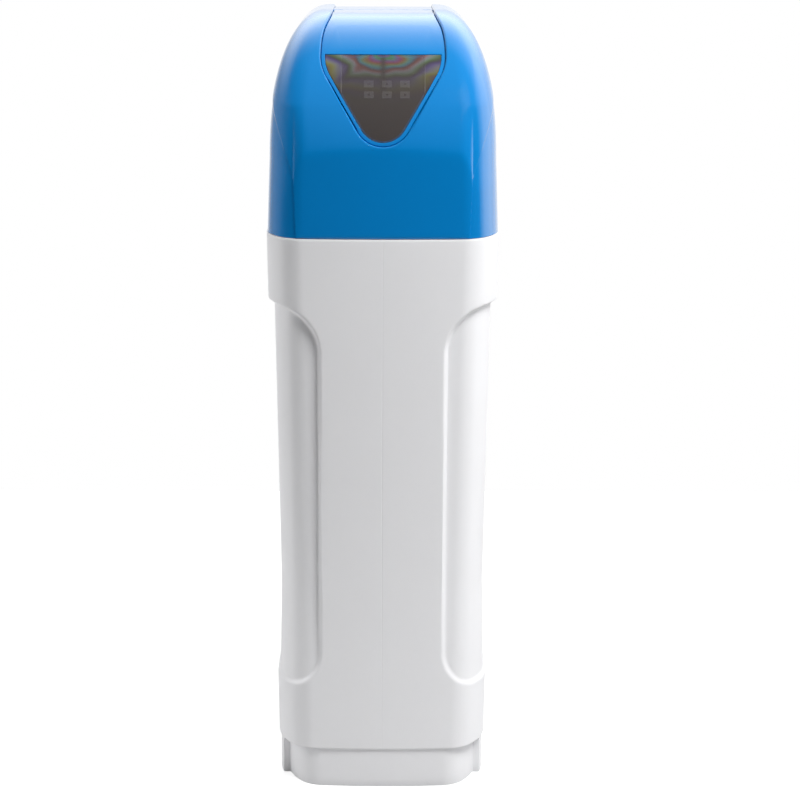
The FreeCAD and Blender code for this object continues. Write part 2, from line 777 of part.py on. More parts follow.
def scaled_outline(half, front, rear, scale, inset):
    """The shared plan with its corners scaled, all in plain numbers."""
    tight = float(S.corner_tight) * scale - inset
    wide = float(S.corner_wide) * scale - inset
    back = float(S.corner_rear) * scale - inset
    sin_a, cos_a = math.sin(CROWN_ANGLE), math.cos(CROWN_ANGLE)
    sin_b, cos_b = math.sin(TIGHT_ANGLE), math.cos(TIGHT_ANGLE)
    crown = (half - tight * (sin_b - sin_a) - wide * (1.0 - sin_b)) / sin_a
    p1 = (crown * sin_a, crown - front - crown * cos_a)
    c1 = ((crown - tight) * sin_a, crown - front - (crown - tight) * cos_a)
    p2 = (c1[0] + tight * sin_b, c1[1] - tight * cos_b)
    c2 = (c1[0] - (wide - tight) * sin_b, c1[1] + (wide - tight) * cos_b)
    p3 = (half, c2[1])
    p4 = (half, rear - back)
    c4 = (half - back, rear - back)
    p5 = (half - back, rear)

    def left(point):
        return (-point[0], point[1])

    return [
        (left(p1), p1, ((0.0, crown - front), crown)),
        (p1, p2, (c1, tight)),
        (p2, p3, (c2, wide)),
        (p3, p4, None),
        (p4, p5, (c4, back)),
        (p5, left(p5), None),
        (left(p5), left(p4), (left(c4), back)),
        (left(p4), left(p3), None),
        (left(p3), left(p2), (left(c2), wide)),
        (left(p2), left(p1), (left(c1), tight)),
    ]


def arc_edge(centre, radius, a0, a1):
    """An arc in the XZ plane, angles measured from +X towards +Z."""
    def at(angle):
        return Vector(centre[0] + radius * math.cos(angle), 0, centre[1] + radius * math.sin(angle))
    return Part.Arc(at(a0), at((a0 + a1) / 2), at(a1)).toShape()


def line_edge(p0, p1):
    """A straight edge in the XZ plane."""
    return Part.LineSegment(Vector(p0[0], 0, p0[1]), Vector(p1[0], 0, p1[1])).toShape()


def shield_front(grow, fore, aft):
    """The shield seen from the front, grown by a distance: a pointed base with upright sides above it."""
    tip_radius = float(S.shield_tip_radius) + grow
    tip_z = float(S.shield_tip) + float(S.shield_tip_radius)
    half, shoulder = float(S.shield_half), float(S.shield_shoulder)
    sin_f, cos_f = math.sin(FLANK_ANGLE), math.cos(FLANK_ANGLE)
    base = float(S.shield_tip_radius)
    start = (base * sin_f, tip_z - base * cos_f)
    meet = start[1] + (half - start[0]) * sin_f / cos_f
    bend = (shoulder - meet) / math.tan((math.pi / 2 - FLANK_ANGLE) / 2)
    low = FLANK_ANGLE - math.pi / 2
    top = float(S.overall_height) + 30.0
    bend_c = (half - bend, shoulder)

    def on(centre, radius, angle):
        return (centre[0] + radius * math.cos(angle), centre[1] + radius * math.sin(angle))

    a = on((0.0, tip_z), tip_radius, low)
    b = on(bend_c, bend + grow, low)
    c = (half + grow, shoulder)
    right = [
        line_edge(a, b),
        arc_edge(bend_c, bend + grow, low, 0.0),
        line_edge(c, (c[0], top)),
    ]
    edges = [arc_edge((0.0, tip_z), tip_radius, -math.pi - low, low)] + right
    edges += [line_edge((c[0], top), (-c[0], top))] + mirrored(right)
    prism = Part.Face(Part.Wire(Part.__sortEdges__(edges))).extrude(Vector(0, aft - fore, 0))
    prism.translate(Vector(0, fore, 0))
    return prism


def shield_plan(grow, fore, aft):
    """The shield seen from above: full width at its shoulders, eased in to the crest by two equal arcs.

    Its sides are upright, so the lid can swing up out of the hood.
    """
    half, crest = float(S.shield_half), float(S.shield_crest_half)
    start = -reach_at(front_profile(), float(S.shield_shoulder))
    end = -float(S.shield_ease_end)
    turn = 2.0 * math.atan((half - crest) / (end - start))
    radius = (end - start) / (2.0 * math.sin(turn))
    right = [
        line_edge((half + grow, fore), (half + grow, start)),
        arc_edge((half - radius, start), radius + grow, 0.0, turn),
        arc_edge((crest + radius, end), radius - grow, math.pi + turn, math.pi),
        line_edge((crest + grow, end), (crest + grow, aft)),
    ]
    edges = [line_edge((-half - grow, fore), (half + grow, fore))] + right
    edges += [line_edge((crest + grow, aft), (-crest - grow, aft))] + mirrored(right)
    face = Part.Face(Part.Wire(Part.__sortEdges__(edges)))
    face.rotate(Vector(0, 0, 0), Vector(1, 0, 0), -90)
    prism = face.extrude(Vector(0, 0, 500))
    prism.translate(Vector(0, 0, 800))
    return prism


def mirrored(edges):
    """The edges on the other side of the centre line."""
    return [edge.mirror(Vector(0, 0, 0), Vector(1, 0, 0)) for edge in edges]


def shield_prism(grow, fore, aft):
    """All that lies inside the shield outline grown by a distance, from one depth to another."""
    return shield_front(grow, fore, aft).common(shield_plan(grow, fore - 1.0, aft + 1.0))


def solid_block(x0, x1, y0, y1, z0, z1):
    """A box from its limits."""
    return Part.makeBox(x1 - x0, y1 - y0, z1 - z0, Vector(x0, y0, z0))


def solid_rod(radius, length, base, direction):
    """A cylinder from its base along a direction."""
    return Part.makeCylinder(radius, length, Vector(*base), Vector(*direction))


def cheek_prism():
    """The stretch of the hood's side, seen from the side, that is set back as a cheek."""
    base, top = float(S.cheek_base), float(S.cheek_top)
    fore = float(S.cheek_front) - float(S.front_reach)
    arc, rear = float(S.cheek_arc), float(S.cheek_rear)
    low = float(S.seam_height) - 20.0
    steps = 24
    points = [
        Vector(0, fore + arc * (1.0 - math.cos(math.pi / 2 * i / steps)),
               base + (top - base) * math.sin(math.pi / 2 * i / steps))
        for i in range(steps + 1)
    ]
    curve = Part.BSplineCurve()
    curve.interpolate(points)
    far = rear - 40.0
    edges = [
        Part.LineSegment(Vector(0, fore, low), points[0]).toShape(),
        curve.toShape(),
        Part.LineSegment(points[-1], Vector(0, far, top)).toShape(),
        Part.Arc(Vector(0, far, top), Vector(0, far + 40.0 * math.sin(math.pi / 4),
                 top - 40.0 * (1.0 - math.cos(math.pi / 4))), Vector(0, rear, top - 40.0)).toShape(),
        Part.LineSegment(Vector(0, rear, top - 40.0), Vector(0, rear, low)).toShape(),
        Part.LineSegment(Vector(0, rear, low), Vector(0, fore, low)).toShape(),
    ]
    face = Part.Face(Part.Wire(Part.__sortEdges__(edges)))
    prism = face.extrude(Vector(2 * BIG, 0, 0))
    prism.translate(Vector(-BIG, 0, 0))
    return prism


def hinge_axis():
    """The lid hinge: its depth and its height."""
    return float(S.lid_rear), float(S.overall_height) - float(S.shield_depth) - float(S.hinge_radius)


def knuckles(turns, edge):
    """Hinge knuckles with their webs, at the given places in the row."""
    y, z = hinge_axis()
    radius, length = float(S.hinge_radius), float(S.knuckle_length)
    pitch = length + float(S.knuckle_gap)
    made = []
    for turn in turns:
        x = turn * pitch - length / 2
        barrel = solid_rod(radius, length, (x, y, z), (1, 0, 0))
        web = solid_block(x, x + length, min(y, edge), max(y, edge), z - radius, z + radius)
        made.append(barrel.fuse(web))
    return made


def hinge_bore():
    """The bore through all knuckles."""
    y, z = hinge_axis()
    return solid_rod(float(S.hinge_pin_radius) + float(S.hinge_play), 300.0, (-150.0, y, z), (1, 0, 0))


def make_hood():
    """The moulded hood, its lid, the window and the hinge pin."""
    form = HoodForm()
    wall, sink = float(S.hood_wall), float(S.shield_depth)
    lid_low = sink + float(S.lid_wall)
    ledge_top = lid_low + float(S.lid_seat)
    ledge_low = ledge_top + float(S.ledge_wall)
    hinge_y = float(S.lid_rear)
    lid_end, valley_start = hinge_y - 4.2, hinge_y + 4.8
    crest_half = float(S.shield_crest_half)
    fore = -float(S.front_reach) - 20.0
    high = float(S.overall_height) + 20.0

    hollow = form.solid(wall).cut(shield_prism(wall, fore, valley_start + wall))
    hollow = hollow.cut(solid_block(-crest_half - wall, crest_half + wall, valley_start, BIG, 800.0, high))
    pocket = shield_prism(0.0, fore, valley_start).cut(form.solid(ledge_top))
    valley = solid_block(-crest_half, crest_half, valley_start - 0.5, BIG, 800.0, high).cut(form.solid(sink))
    opening = shield_prism(-float(S.ledge_width), fore, valley_start - 1.0)
    behind = form.solid(sink + wall).common(
        solid_block(-BIG, BIG, valley_start + wall, BIG, 700.0, high))
    cheek = form.solid(0.0).cut(form.solid(float(S.cheek_step))).common(cheek_prism())
    notch = rounded_opening(float(S.notch_half), float(S.notch_top), float(S.notch_radius), 150.0)
    base = solid_block(-BIG, BIG, -BIG, BIG, 600.0, float(S.seam_height) + float(S.seam_gap))
    shell = form.solid(0.0).cut(form.solid(ledge_low))
    for tool in (hollow, pocket, valley, opening, behind, cheek, notch, base):
        shell = shell.cut(tool)
    shell = shell.fuse(knuckles((-2, 0, 2), valley_start + 1.0)).cut(hinge_bore())
    node("top_cover", feature("top_cover", biggest(shell)))

    gap = float(S.lid_gap)
    border, shelf = float(S.window_border), float(S.lid_shelf_width)
    top_edge = float(S.window_top)
    plate = form.solid(sink).cut(form.solid(lid_low)).common(shield_prism(-gap, fore, lid_end))
    seat = lid_low - float(S.lid_shelf)
    under_edge = solid_block(-BIG, BIG, -BIG, BIG, 0.0, top_edge)
    under_shelf = solid_block(-BIG, BIG, -BIG, BIG, 0.0, top_edge - shelf)
    recess = shield_prism(-border, fore, 0.0).common(under_edge).cut(form.solid(seat))
    through = shield_prism(-border - shelf, fore, 0.0).common(under_shelf)
    lid = plate.cut(recess).cut(through)
    lid = lid.fuse(knuckles((-1, 1), lid_end - 1.0)).cut(hinge_bore())
    node("salt_lid", feature("salt_lid", biggest(lid)))

    slack = float(S.window_gap)
    glass_top = sink + float(S.window_sink)
    glass = form.solid(glass_top).cut(form.solid(glass_top + float(S.window_wall)))
    glass = glass.common(shield_prism(-border - slack, fore, 0.0))
    glass = glass.common(solid_block(-BIG, BIG, -BIG, BIG, 0.0, top_edge - slack))
    node("display_window", feature("display_window", biggest(glass)))

    reach = S.knuckle_length * 5.0 + S.knuckle_gap * 4.0
    node("lid_hinge_pin", rod("lid_hinge_pin", S.hinge_pin_radius, reach, (
        -reach / 2.0, S.lid_rear, S.overall_height - S.shield_depth - S.hinge_radius), TO_RIGHT))


def rounded_opening(half, top, radius, fore):
    """A rear opening with rounded upper corners, from a depth out to the rear."""
    low = 700.0
    box = solid_block(-half, half, fore, BIG, low, top)
    edges = [e for e in box.Edges if abs(e.BoundBox.ZMin - top) < 1e-6 and abs(e.BoundBox.ZMax - top) < 1e-6
             and e.BoundBox.YLength > 1.0]
    return box.makeFillet(radius, edges)


def biggest(shape):
    """The largest solid of a shape."""
    return max(shape.Solids, key=lambda solid: solid.Volume)


# Places that several pieces share

FLOOR = S.floor_wall
VESSEL_TIP = FLOOR + S.vessel_lift
NECK_TOP = VESSEL_TIP + S.vessel_height
DECK = NECK_TOP + S.valve_flange
AXIS = DECK + S.valve_rise
BARREL_FORE = S.vessel_y - S.barrel_front
BARREL_AFT = S.vessel_y + S.barrel_rear
PORT_END = BARREL_AFT + S.port_length
BYPASS_Y = PORT_END + S.bypass_gap + S.bypass_radius
BYPASS_BASE = AXIS - S.bypass_height / 2.0
BYPASS_TOP = AXIS + S.bypass_height / 2.0
HEAD_REAR = BARREL_FORE - S.cap_thickness - S.bracket_thickness
HEAD_FACE = HEAD_REAR - S.head_depth
WELL_TOP = FLOOR + S.well_height
BRINE_Y = S.vessel_y - 28.0
BRINE_Z = DECK + 28.0
STRAINER_BASE = VESSEL_TIP + S.vessel_wall + 2.0


def tube(name, radius, bore, length, at, rotation=UPRIGHT):
    """A straight tube."""
    return cut(name, rod(name + "_outside", radius, length, at, rotation),
               rod(name + "_bore", bore, length, at, rotation))


def hexagon(name, corner, height, at, rotation=UPRIGHT):
    """A six-sided prism."""
    return primitive("Prism", name, at, rotation, Polygon=6, Circumradius=corner, Height=height)


# Pressure vessel

def vessel_outline(inset):
    """Half the vessel's section: a crown, a knuckle and a straight side at each end."""
    radius, crown, knuckle = S.vessel_radius - inset, S.dome_crown - inset, S.dome_knuckle - inset
    across, slant = radius - knuckle, crown - knuckle
    up = root(slant * slant - across * across)
    low, high = VESSEL_TIP + inset, NECK_TOP - S.neck_length - inset
    low_c, high_c = low + crown, high - crown
    ratio = crown / slant
    k_low, k_high = (across, low_c - up), (across, high_c + up)
    t_low = (across * ratio, low_c - up * ratio)
    t_high = (across * ratio, high_c + up * ratio)
    side_low, side_high = (radius, k_low[1]), (radius, k_high[1])
    return [
        ((0.0, low), t_low, ((0.0, low_c), crown)),
        (t_low, side_low, (k_low, knuckle)),
        (side_low, side_high, None),
        (side_high, t_high, (k_high, knuckle)),
        (t_high, (0.0, high), ((0.0, high_c), crown)),
        ((0.0, high), (0.0, low), None),
    ]


def strainer(name, radius, low, length, bore, closed):
    """A slotted strainer round the riser, closed or open below."""
    y = S.vessel_y
    wall = S.strainer_wall
    start = low + wall if closed else low - 1.0
    hollow = rod(name + "_hollow", radius - wall, length - wall * 2.0, (0, y, low + wall))
    neck = rod(name + "_neck", bore, low + length - start + 1.0, (0, y, start))
    slots = []
    for i in range(5):
        z = low + wall * 2.0 + S.slot_pitch * float(i)
        half = radius * 0.6
        slots.append(block("%s_slot_x_%d" % (name, i), (radius * 2.0 + 2.0, half * 2.0, S.slot_width),
                           (-radius - 1.0, y - half, z)))
        slots.append(block("%s_slot_y_%d" % (name, i), (half * 2.0, radius * 2.0 + 2.0, S.slot_width),
                           (-half, y - radius - 1.0, z)))
    return cut(name, rod(name + "_outside", radius, length, (0, y, low)), hollow, neck, *slots)


def make_vessel():
    """The pressure vessel with its base cup, riser, strainers and resin."""
    y = S.vessel_y
    outside = fuse(
        "vessel_outside",
        revolved("vessel_form", vessel_outline(0.0), (0, y, 0)),
        rod("vessel_neck", S.neck_radius, S.neck_length + 12.0, (0, y, NECK_TOP - S.neck_length - 12.0)),
    )
    node("resin_tank", cut(
        "resin_tank", outside,
        revolved("vessel_hollow", vessel_outline(S.vessel_wall), (0, y, 0)),
        rod("vessel_mouth", S.neck_bore, S.neck_length + 30.0, (0, y, NECK_TOP - S.neck_length - 30.0)),
    ))

    ring = S.boot_ring
    ring_top = VESSEL_TIP + S.dome_crown - root(S.dome_crown * S.dome_crown - ring * ring) - S.fit_gap
    inner = S.vessel_radius + S.fit_gap
    node("tank_boot", fuse(
        "tank_boot",
        cut("boot_wall_ring", rod("boot_outside", inner + S.boot_wall, S.boot_height, (0, y, FLOOR)),
            rod("boot_inside", inner, S.boot_height, (0, y, FLOOR + 3.0)),
            rod("boot_hole", ring, 10.0, (0, y, FLOOR - 3.0))),
        tube("boot_ring_wall", ring + 4.0, ring, ring_top - FLOOR, (0, y, FLOOR)),
    ))

    strainer_top = STRAINER_BASE + S.strainer_length
    node("riser_tube", tube("riser_tube", S.riser_radius, S.riser_radius - S.riser_wall,
                            DECK + 10.0 - strainer_top + 8.0, (0, y, strainer_top - 8.0)))
    bore = S.riser_radius + S.fit_gap
    node("bottom_distributor", strainer(
        "bottom_distributor", S.strainer_radius, STRAINER_BASE, S.strainer_length, bore, True))
    node("top_distributor", strainer(
        "top_distributor", S.strainer_radius + 2.0, NECK_TOP - 24.0 - 60.0, Size(60.0, "60"), bore, False))
    gap = S.vessel_wall + S.fit_gap
    node("resin_bed", cut(
        "resin_bed",
        common("resin_fill", revolved("resin_form", vessel_outline(gap), (0, y, 0)),
               rod("resin_level", S.vessel_radius, S.bed_height, (0, y, FLOOR))),
        rod("resin_strainer_space", S.strainer_radius + S.fit_gap, strainer_top + S.fit_gap, (0, y, 0)),
        rod("resin_riser_space", bore, BIG * 2, (0, y, 0)),
    ))


# Control valve

def make_valve():
    """The valve body with its spacer stack, piston, rod, cap, injector, elbows and flow turbine."""
    y, gap = S.vessel_y, S.fit_gap
    barrel_length = S.barrel_front + S.barrel_rear
    parts = [
        rod("valve_flange_disc", S.valve_flange_radius, S.valve_flange, (0, y, NECK_TOP)),
        rod("valve_spigot", S.neck_bore - 0.35, 24.0, (0, y, NECK_TOP - 24.0)),
        rod("valve_stem", S.barrel_radius + 2.0, AXIS - NECK_TOP, (0, y, NECK_TOP)),
        rod("valve_barrel", S.barrel_radius, barrel_length, (0, BARREL_FORE, AXIS), TO_REAR),
        rod("valve_injector_boss", 16.0, 56.0, (0, y, AXIS - 8.0), TO_LEFT),
        rod("valve_brine_boss", 9.0, 66.0, (0, BRINE_Y, BRINE_Z), TO_LEFT),
        rod("valve_drain_boss", 10.0, 52.0, (0, y + 20.0, DECK + 30.0), TO_RIGHT),
    ]
    bores = [
        rod("valve_bore", S.barrel_bore, barrel_length - S.barrel_end, (0, BARREL_FORE, AXIS), TO_REAR),
        rod("valve_riser_seat", S.riser_radius + gap, S.valve_flange + 34.3, (0, y, NECK_TOP - 24.0)),
        rod("valve_riser_way", S.riser_radius - S.riser_wall, S.valve_rise, (0, y, DECK)),
        rod("valve_injector_way", 9.0, 30.0, (-56.0, y, AXIS - 8.0), TO_RIGHT),
        rod("valve_brine_way", S.brine_tube_bore, 50.0, (-66.0, BRINE_Y, BRINE_Z), TO_RIGHT),
        rod("valve_drain_way", 5.5, 30.0, (52.0, y + 20.0, DECK + 30.0), TO_LEFT),
    ]
    for word, side in (("inlet", -1.0), ("outlet", 1.0)):
        x = S.port_spacing * side
        fore = BARREL_AFT - 26.0
        parts.append(rod("valve_%s_port" % word, S.port_radius, PORT_END - fore, (x, fore, AXIS), TO_REAR))
        length = PORT_END - fore - 6.0
        bores.append(rod("valve_%s_bore" % word, S.port_bore, length, (x, fore + 6.0, AXIS), TO_REAR))
    node("valve_body", cut("valve_body", fuse("valve_solid", *parts), *bores))

    stack_length = barrel_length - S.barrel_end - gap * 2.0
    windows = []
    for i in range(4):
        at = BARREL_FORE + gap + S.ring_count_pitch * (float(i) + 0.5) + 12.0
        windows.append(rod("stack_window_z_%d" % i, S.ring_height / 2.0, 80.0, (0, at, AXIS - 40.0)))
        windows.append(rod("stack_window_x_%d" % i, S.ring_height / 2.0, 80.0, (-40.0, at, AXIS), TO_RIGHT))
    stack_out = S.barrel_bore - gap
    node("seal_stack", cut(
        "seal_stack",
        rod("stack_outside", stack_out, stack_length, (0, BARREL_FORE + gap, AXIS), TO_REAR),
        rod("stack_inside", S.piston_radius + gap, stack_length, (0, BARREL_FORE + gap, AXIS), TO_REAR),
        *windows))

    start = BARREL_FORE + 14.0
    third = S.piston_length / 3.0
    node("piston", fuse(
        "piston",
        rod("piston_land_fore", S.piston_radius, third, (0, start, AXIS), TO_REAR),
        rod("piston_waist", S.piston_radius - 6.0, S.piston_length, (0, start, AXIS), TO_REAR),
        rod("piston_land_aft", S.piston_radius, third, (0, start + third * 2.0, AXIS), TO_REAR)))
    rod_fore = HEAD_FACE + 8.0
    node("piston_rod", rod("piston_rod", S.rod_radius, start - rod_fore, (0, rod_fore, AXIS), TO_REAR))
    node("barrel_cap", tube("barrel_cap", S.barrel_radius, S.rod_radius + 0.1, S.cap_thickness,
                            (0, BARREL_FORE - S.cap_thickness, AXIS), TO_REAR))
    node("injector_cap", fuse(
        "injector_cap",
        rod("injector_disc", 16.0, 7.0, (-56.0, y, AXIS - 8.0), TO_LEFT),
        hexagon("injector_hex", 11.0, 5.0, (-63.0, y, AXIS - 8.0), TO_LEFT)))
    make_brine_elbow(gap)
    make_drain_elbow(gap)

    turn_y = BARREL_AFT + 6.0
    blade = S.port_bore - 0.7
    node("meter_turbine", fuse(
        "meter_turbine",
        rod("turbine_hub", 4.0, 16.0, (S.port_spacing, turn_y, AXIS), TO_REAR),
        block("turbine_blade_x", (blade * 1.98, 16.0, 1.6),
              (S.port_spacing - blade * 0.99, turn_y, AXIS - 0.8)),
        block("turbine_blade_z", (1.6, 16.0, blade * 1.98),
              (S.port_spacing - 0.8, turn_y, AXIS - blade * 0.99))))


def make_brine_elbow(gap):
    """The elbow between the valve's brine port and the brine tube."""
    x, y, z = S.well_x, BRINE_Y, BRINE_Z
    start = Size(66.0, "66") + gap
    node("brine_elbow", cut(
        "brine_elbow",
        fuse("brine_elbow_solid",
             rod("brine_elbow_in", 8.0, x - start, (-start, y, z), TO_LEFT),
             primitive("Sphere", "brine_elbow_turn", (-x, y, z), Radius=8.0),
             rod("brine_elbow_out", 8.0, 22.0, (-x, y, z), TO_FRONT)),
        rod("brine_elbow_seat", S.brine_tube_radius + 0.2, 13.0, (-x, y - 23.0, z), TO_REAR),
        rod("brine_elbow_way_out", S.brine_tube_bore, 22.0, (-x, y, z), TO_FRONT),
        rod("brine_elbow_way_in", S.brine_tube_bore, x - start + 1.0, (-start + 1.0, y, z), TO_LEFT)))


def make_drain_elbow(gap):
    """The drain elbow with its hose spigot at the rear."""
    x, y, z = S.port_spacing * 2.0, S.vessel_y + 20.0, DECK + 30.0
    start = Size(52.0, "52") + gap
    reach = S.pipe_reach - 4.0 - y
    spigot = rod("drain_elbow_spigot", 8.0, 25.0, (x, y + reach - 25.0, z), TO_REAR)
    node("drain_elbow", cut(
        "drain_elbow",
        fuse("drain_elbow_solid",
             rod("drain_elbow_in", 9.0, x - start, (start, y, z), TO_RIGHT),
             primitive("Sphere", "drain_elbow_turn", (x, y, z), Radius=9.0),
             rod("drain_elbow_out", 6.8, reach, (x, y, z), TO_REAR), spigot),
        rod("drain_elbow_way_in", 4.6, x - start + 1.0, (start - 1.0, y, z), TO_RIGHT),
        rod("drain_elbow_way_out", 4.6, reach + 1.0, (x, y, z), TO_REAR)))


# Power head

def rounded_rectangle(half_x, low, high, radius):
    """A rounded rectangle in the XZ plane, centred across."""
    x, r = half_x, radius
    return [
        ((-x + r, low), (x - r, low), None),
        ((x - r, low), (x, low + r), ((x - r, low + r), r)),
        ((x, low + r), (x, high - r), None),
        ((x, high - r), (x - r, high), ((x - r, high - r), r)),
        ((x - r, high), (-x + r, high), None),
        ((-x + r, high), (-x, high - r), ((-x + r, high - r), r)),
        ((-x, high - r), (-x, low + r), None),
        ((-x, low + r), (-x + r, low), ((-x + r, low + r), r)),
    ]


KEYS = (
    ("key_menu", -1.0, 0.5), ("key_up", 0.0, 0.5), ("key_set", 1.0, 0.5),
    ("key_left", -1.0, -0.5), ("key_down", 0.0, -0.5), ("key_right", 1.0, -0.5),
)


def key_place(column, row):
    """Across and up, for a key."""
    return S.key_shift + S.key_pitch_x * column, S.key_row + S.key_pitch_z * row


def centred_block(name, across, deep, up, x, y, z):
    """A box centred across and up, from a depth backwards."""
    return block(name, (across, deep, up), (x - across / 2.0, y, z - up / 2.0))


def make_head():
    """The power head: housing, lens, keys, board, bracket, motor and gears."""
    wall, gap = S.head_wall, S.fit_gap
    face = HEAD_FACE
    outer = padded("head_form", [rounded_rectangle(S.head_half, S.head_bottom, S.head_top, S.head_edge)],
                   "XZ_Plane", S.head_depth, (0, face, 0), reverse=True)
    inner = padded("head_hollow", [rounded_rectangle(
        S.head_half - wall, S.head_bottom + wall, S.head_top - wall, S.head_edge - wall)],
        "XZ_Plane", S.head_depth, (0, face + wall, 0), reverse=True)
    tools = []
    for name, column, row in KEYS:
        x, z = key_place(column, row)
        tools.append(centred_block(name + "_opening", S.key_width + gap * 2.0, wall * 3.0,
                                   S.key_height + gap * 2.0, x, face - wall, z))
    tools.append(centred_block("lens_opening", S.screen_width + gap * 2.0, wall, S.screen_height + gap * 2.0,
                               0.0, face - 0.7, S.screen_row))
    tools.append(centred_block("lens_through", S.screen_width - 5.0, wall * 3.0, S.screen_height - 5.0,
                               0.0, face - wall, S.screen_row))
    tools.append(rod("gland_hole", 6.0 + gap, 20.0, (-40.0, face + 20.0, S.head_bottom - 10.0)))
    bosses = [
        rod("head_boss_%d_%d" % (side, level), 3.0, 7.0 - wall,
            (50.0 * side, face + wall, S.screen_row + level), TO_REAR)
        for side in (-1.0, 1.0) for level in (-50.0, 22.0)
    ]
    node("control_housing", fuse("control_housing", cut("head_shell", outer, inner, *tools), *bosses))
    node("lcd_lens", centred_block("lcd_lens", S.screen_width, 1.6, S.screen_height, 0.0, face, S.screen_row))

    board_y = face + 7.0
    board = [centred_block("board_plate", 108.0, S.board_thickness, 80.0, 0.0, board_y, S.screen_row - 14.0)]
    board.append(centred_block("board_display", S.screen_width - 6.0, 7.0 - wall - 0.3, S.screen_height - 6.0,
                               0.0, face + wall + 0.3, S.screen_row))
    for name, column, row in KEYS:
        x, z = key_place(column, row)
        cap = centred_block(name + "_cap", S.key_width, wall + gap + 1.3, S.key_height, x, face - 1.2, z)
        lip = centred_block(name + "_lip", S.key_width + 3.0, 1.0, S.key_height + 3.0,
                            x, face + wall + gap, z)
        stem = rod(name + "_stem", 2.0, 1.9, (x, face + wall + gap, z), TO_REAR)
        node(name, fuse(name, cap, lip, stem))
        board.append(centred_block(name + "_switch", 6.0, 1.3, 6.0, x, board_y - 1.3, z))
    node("circuit_board", fuse("circuit_board", *board))

    node("drive_bracket", cut(
        "drive_bracket",
        padded("bracket_plate", [rounded_rectangle(S.head_half - 3.0, S.head_bottom + 2.0, S.head_top - 2.0,
                                                   S.head_edge)],
               "XZ_Plane", S.bracket_thickness, (0, HEAD_REAR, 0), reverse=True),
        rod("bracket_hole", S.rod_radius + gap, 10.0, (0, HEAD_REAR - 2.0, AXIS), TO_REAR)))
    make_drive(gap)
    gland_z = S.head_bottom - gap - 5.0
    node("cable_gland", cut(
        "cable_gland",
        fuse("gland_solid", rod("gland_flange", 9.0, 5.0, (-40.0, face + 20.0, gland_z)),
             rod("gland_stem", 6.0, 14.0, (-40.0, face + 20.0, gland_z)),
             hexagon("gland_nut", 9.5, 4.0, (-40.0, face + 20.0, S.head_bottom + wall + gap))),
        rod("gland_bore", 3.5, 20.0, (-40.0, face + 20.0, gland_z - 1.0))))


def gear_shape(radius, teeth, width, turn):
    """A spur gear about +Y, standing on the XZ plane."""
    corners = []
    pitch = 2 * math.pi / teeth
    for i in range(teeth):
        middle = turn + i * pitch
        for reach, share in ((-1.25, -0.26), (0.85, -0.12), (0.85, 0.12), (-1.25, 0.26)):
            angle = middle + pitch * share
            corners.append(Vector((radius + reach) * math.cos(angle), 0, (radius + reach) * math.sin(angle)))
    corners.append(corners[0])
    return Part.Face(Part.makePolygon(corners)).extrude(Vector(0, width, 0))


def make_drive(gap):
    """The motor, its pinion and the drive gear that the piston's rod threads through."""
    gear_y = HEAD_REAR - 8.5
    width = float(S.gear_width)
    gear = gear_shape(float(S.gear_radius), 60, width, math.pi / 2)
    gear = gear.fuse(solid_rod(10.0, width + 7.7, (0, -4.5, 0), (0, 1, 0)))
    gear = gear.cut(solid_rod(float(S.rod_radius) + 0.08, 40.0, (0, -20.0, 0), (0, 1, 0)))
    node("drive_gear", place(feature("drive_gear", gear), 0, gear_y, AXIS))
    motor_z = AXIS + S.gear_radius + S.pinion_radius
    pinion = gear_shape(float(S.pinion_radius), 12, width, math.pi / 2 + math.pi / 12)
    pinion = pinion.cut(solid_rod(1.6, 20.0, (0, -5.0, 0), (0, 1, 0)))
    node("motor_pinion", place(feature("motor_pinion", pinion), 0, gear_y, motor_z))
    rear = gear_y - 1.5
    node("motor", fuse(
        "motor",
        rod("motor_can", S.motor_radius, S.motor_length, (0, rear - S.motor_length, motor_z), TO_REAR),
        rod("motor_shaft", 1.5, HEAD_REAR - rear - 0.3, (0, rear, motor_z), TO_REAR),
        block("motor_ears", (40.0, 3.0, 12.0), (-20.0, rear - 3.0, motor_z - 6.0)),
        rod("motor_post_left", 2.5, HEAD_REAR - rear, (-16.5, rear, motor_z), TO_REAR),
        rod("motor_post_right", 2.5, HEAD_REAR - rear, (16.5, rear, motor_z), TO_REAR)))


# Bypass and pipe connections

def make_bypass():
    """The bypass block, its two rotors with their handles, and the pipe connections with their nuts."""
    gap = S.fit_gap
    parts, bores = [], []
    span = S.port_spacing * 2.0
    parts.append(rod("bypass_bar", 13.0, span, (-S.port_spacing, BYPASS_Y, AXIS), TO_RIGHT))
    bores.append(rod("bypass_bar_bore", 9.0, span, (-S.port_spacing, BYPASS_Y, AXIS), TO_RIGHT))
    fore = PORT_END + S.bypass_gap
    aft = BYPASS_Y + S.bypass_radius
    for word, side in (("inlet", -1.0), ("outlet", 1.0)):
        x = S.port_spacing * side
        foot = (x, BYPASS_Y, BYPASS_BASE)
        parts.append(rod("bypass_%s_chamber" % word, S.bypass_radius, S.bypass_height, foot))
        parts.append(rod("bypass_%s_sleeve" % word, S.port_radius, aft - fore, (x, fore, AXIS), TO_REAR))
        bores.append(rod("bypass_%s_well" % word, S.bypass_radius - 4.0, S.bypass_height,
                         (x, BYPASS_Y, BYPASS_BASE + 4.0)))
        length = 2.0 + aft - fore
        bores.append(rod("bypass_%s_bore" % word, S.port_bore, length, (x, fore - 1.0, AXIS), TO_REAR))
        make_rotor("bypass_rotor_" + word, x, gap)
        make_connection(word, x, aft + gap)
    node("bypass_body", cut("bypass_body", fuse("bypass_solid", *parts), *bores))


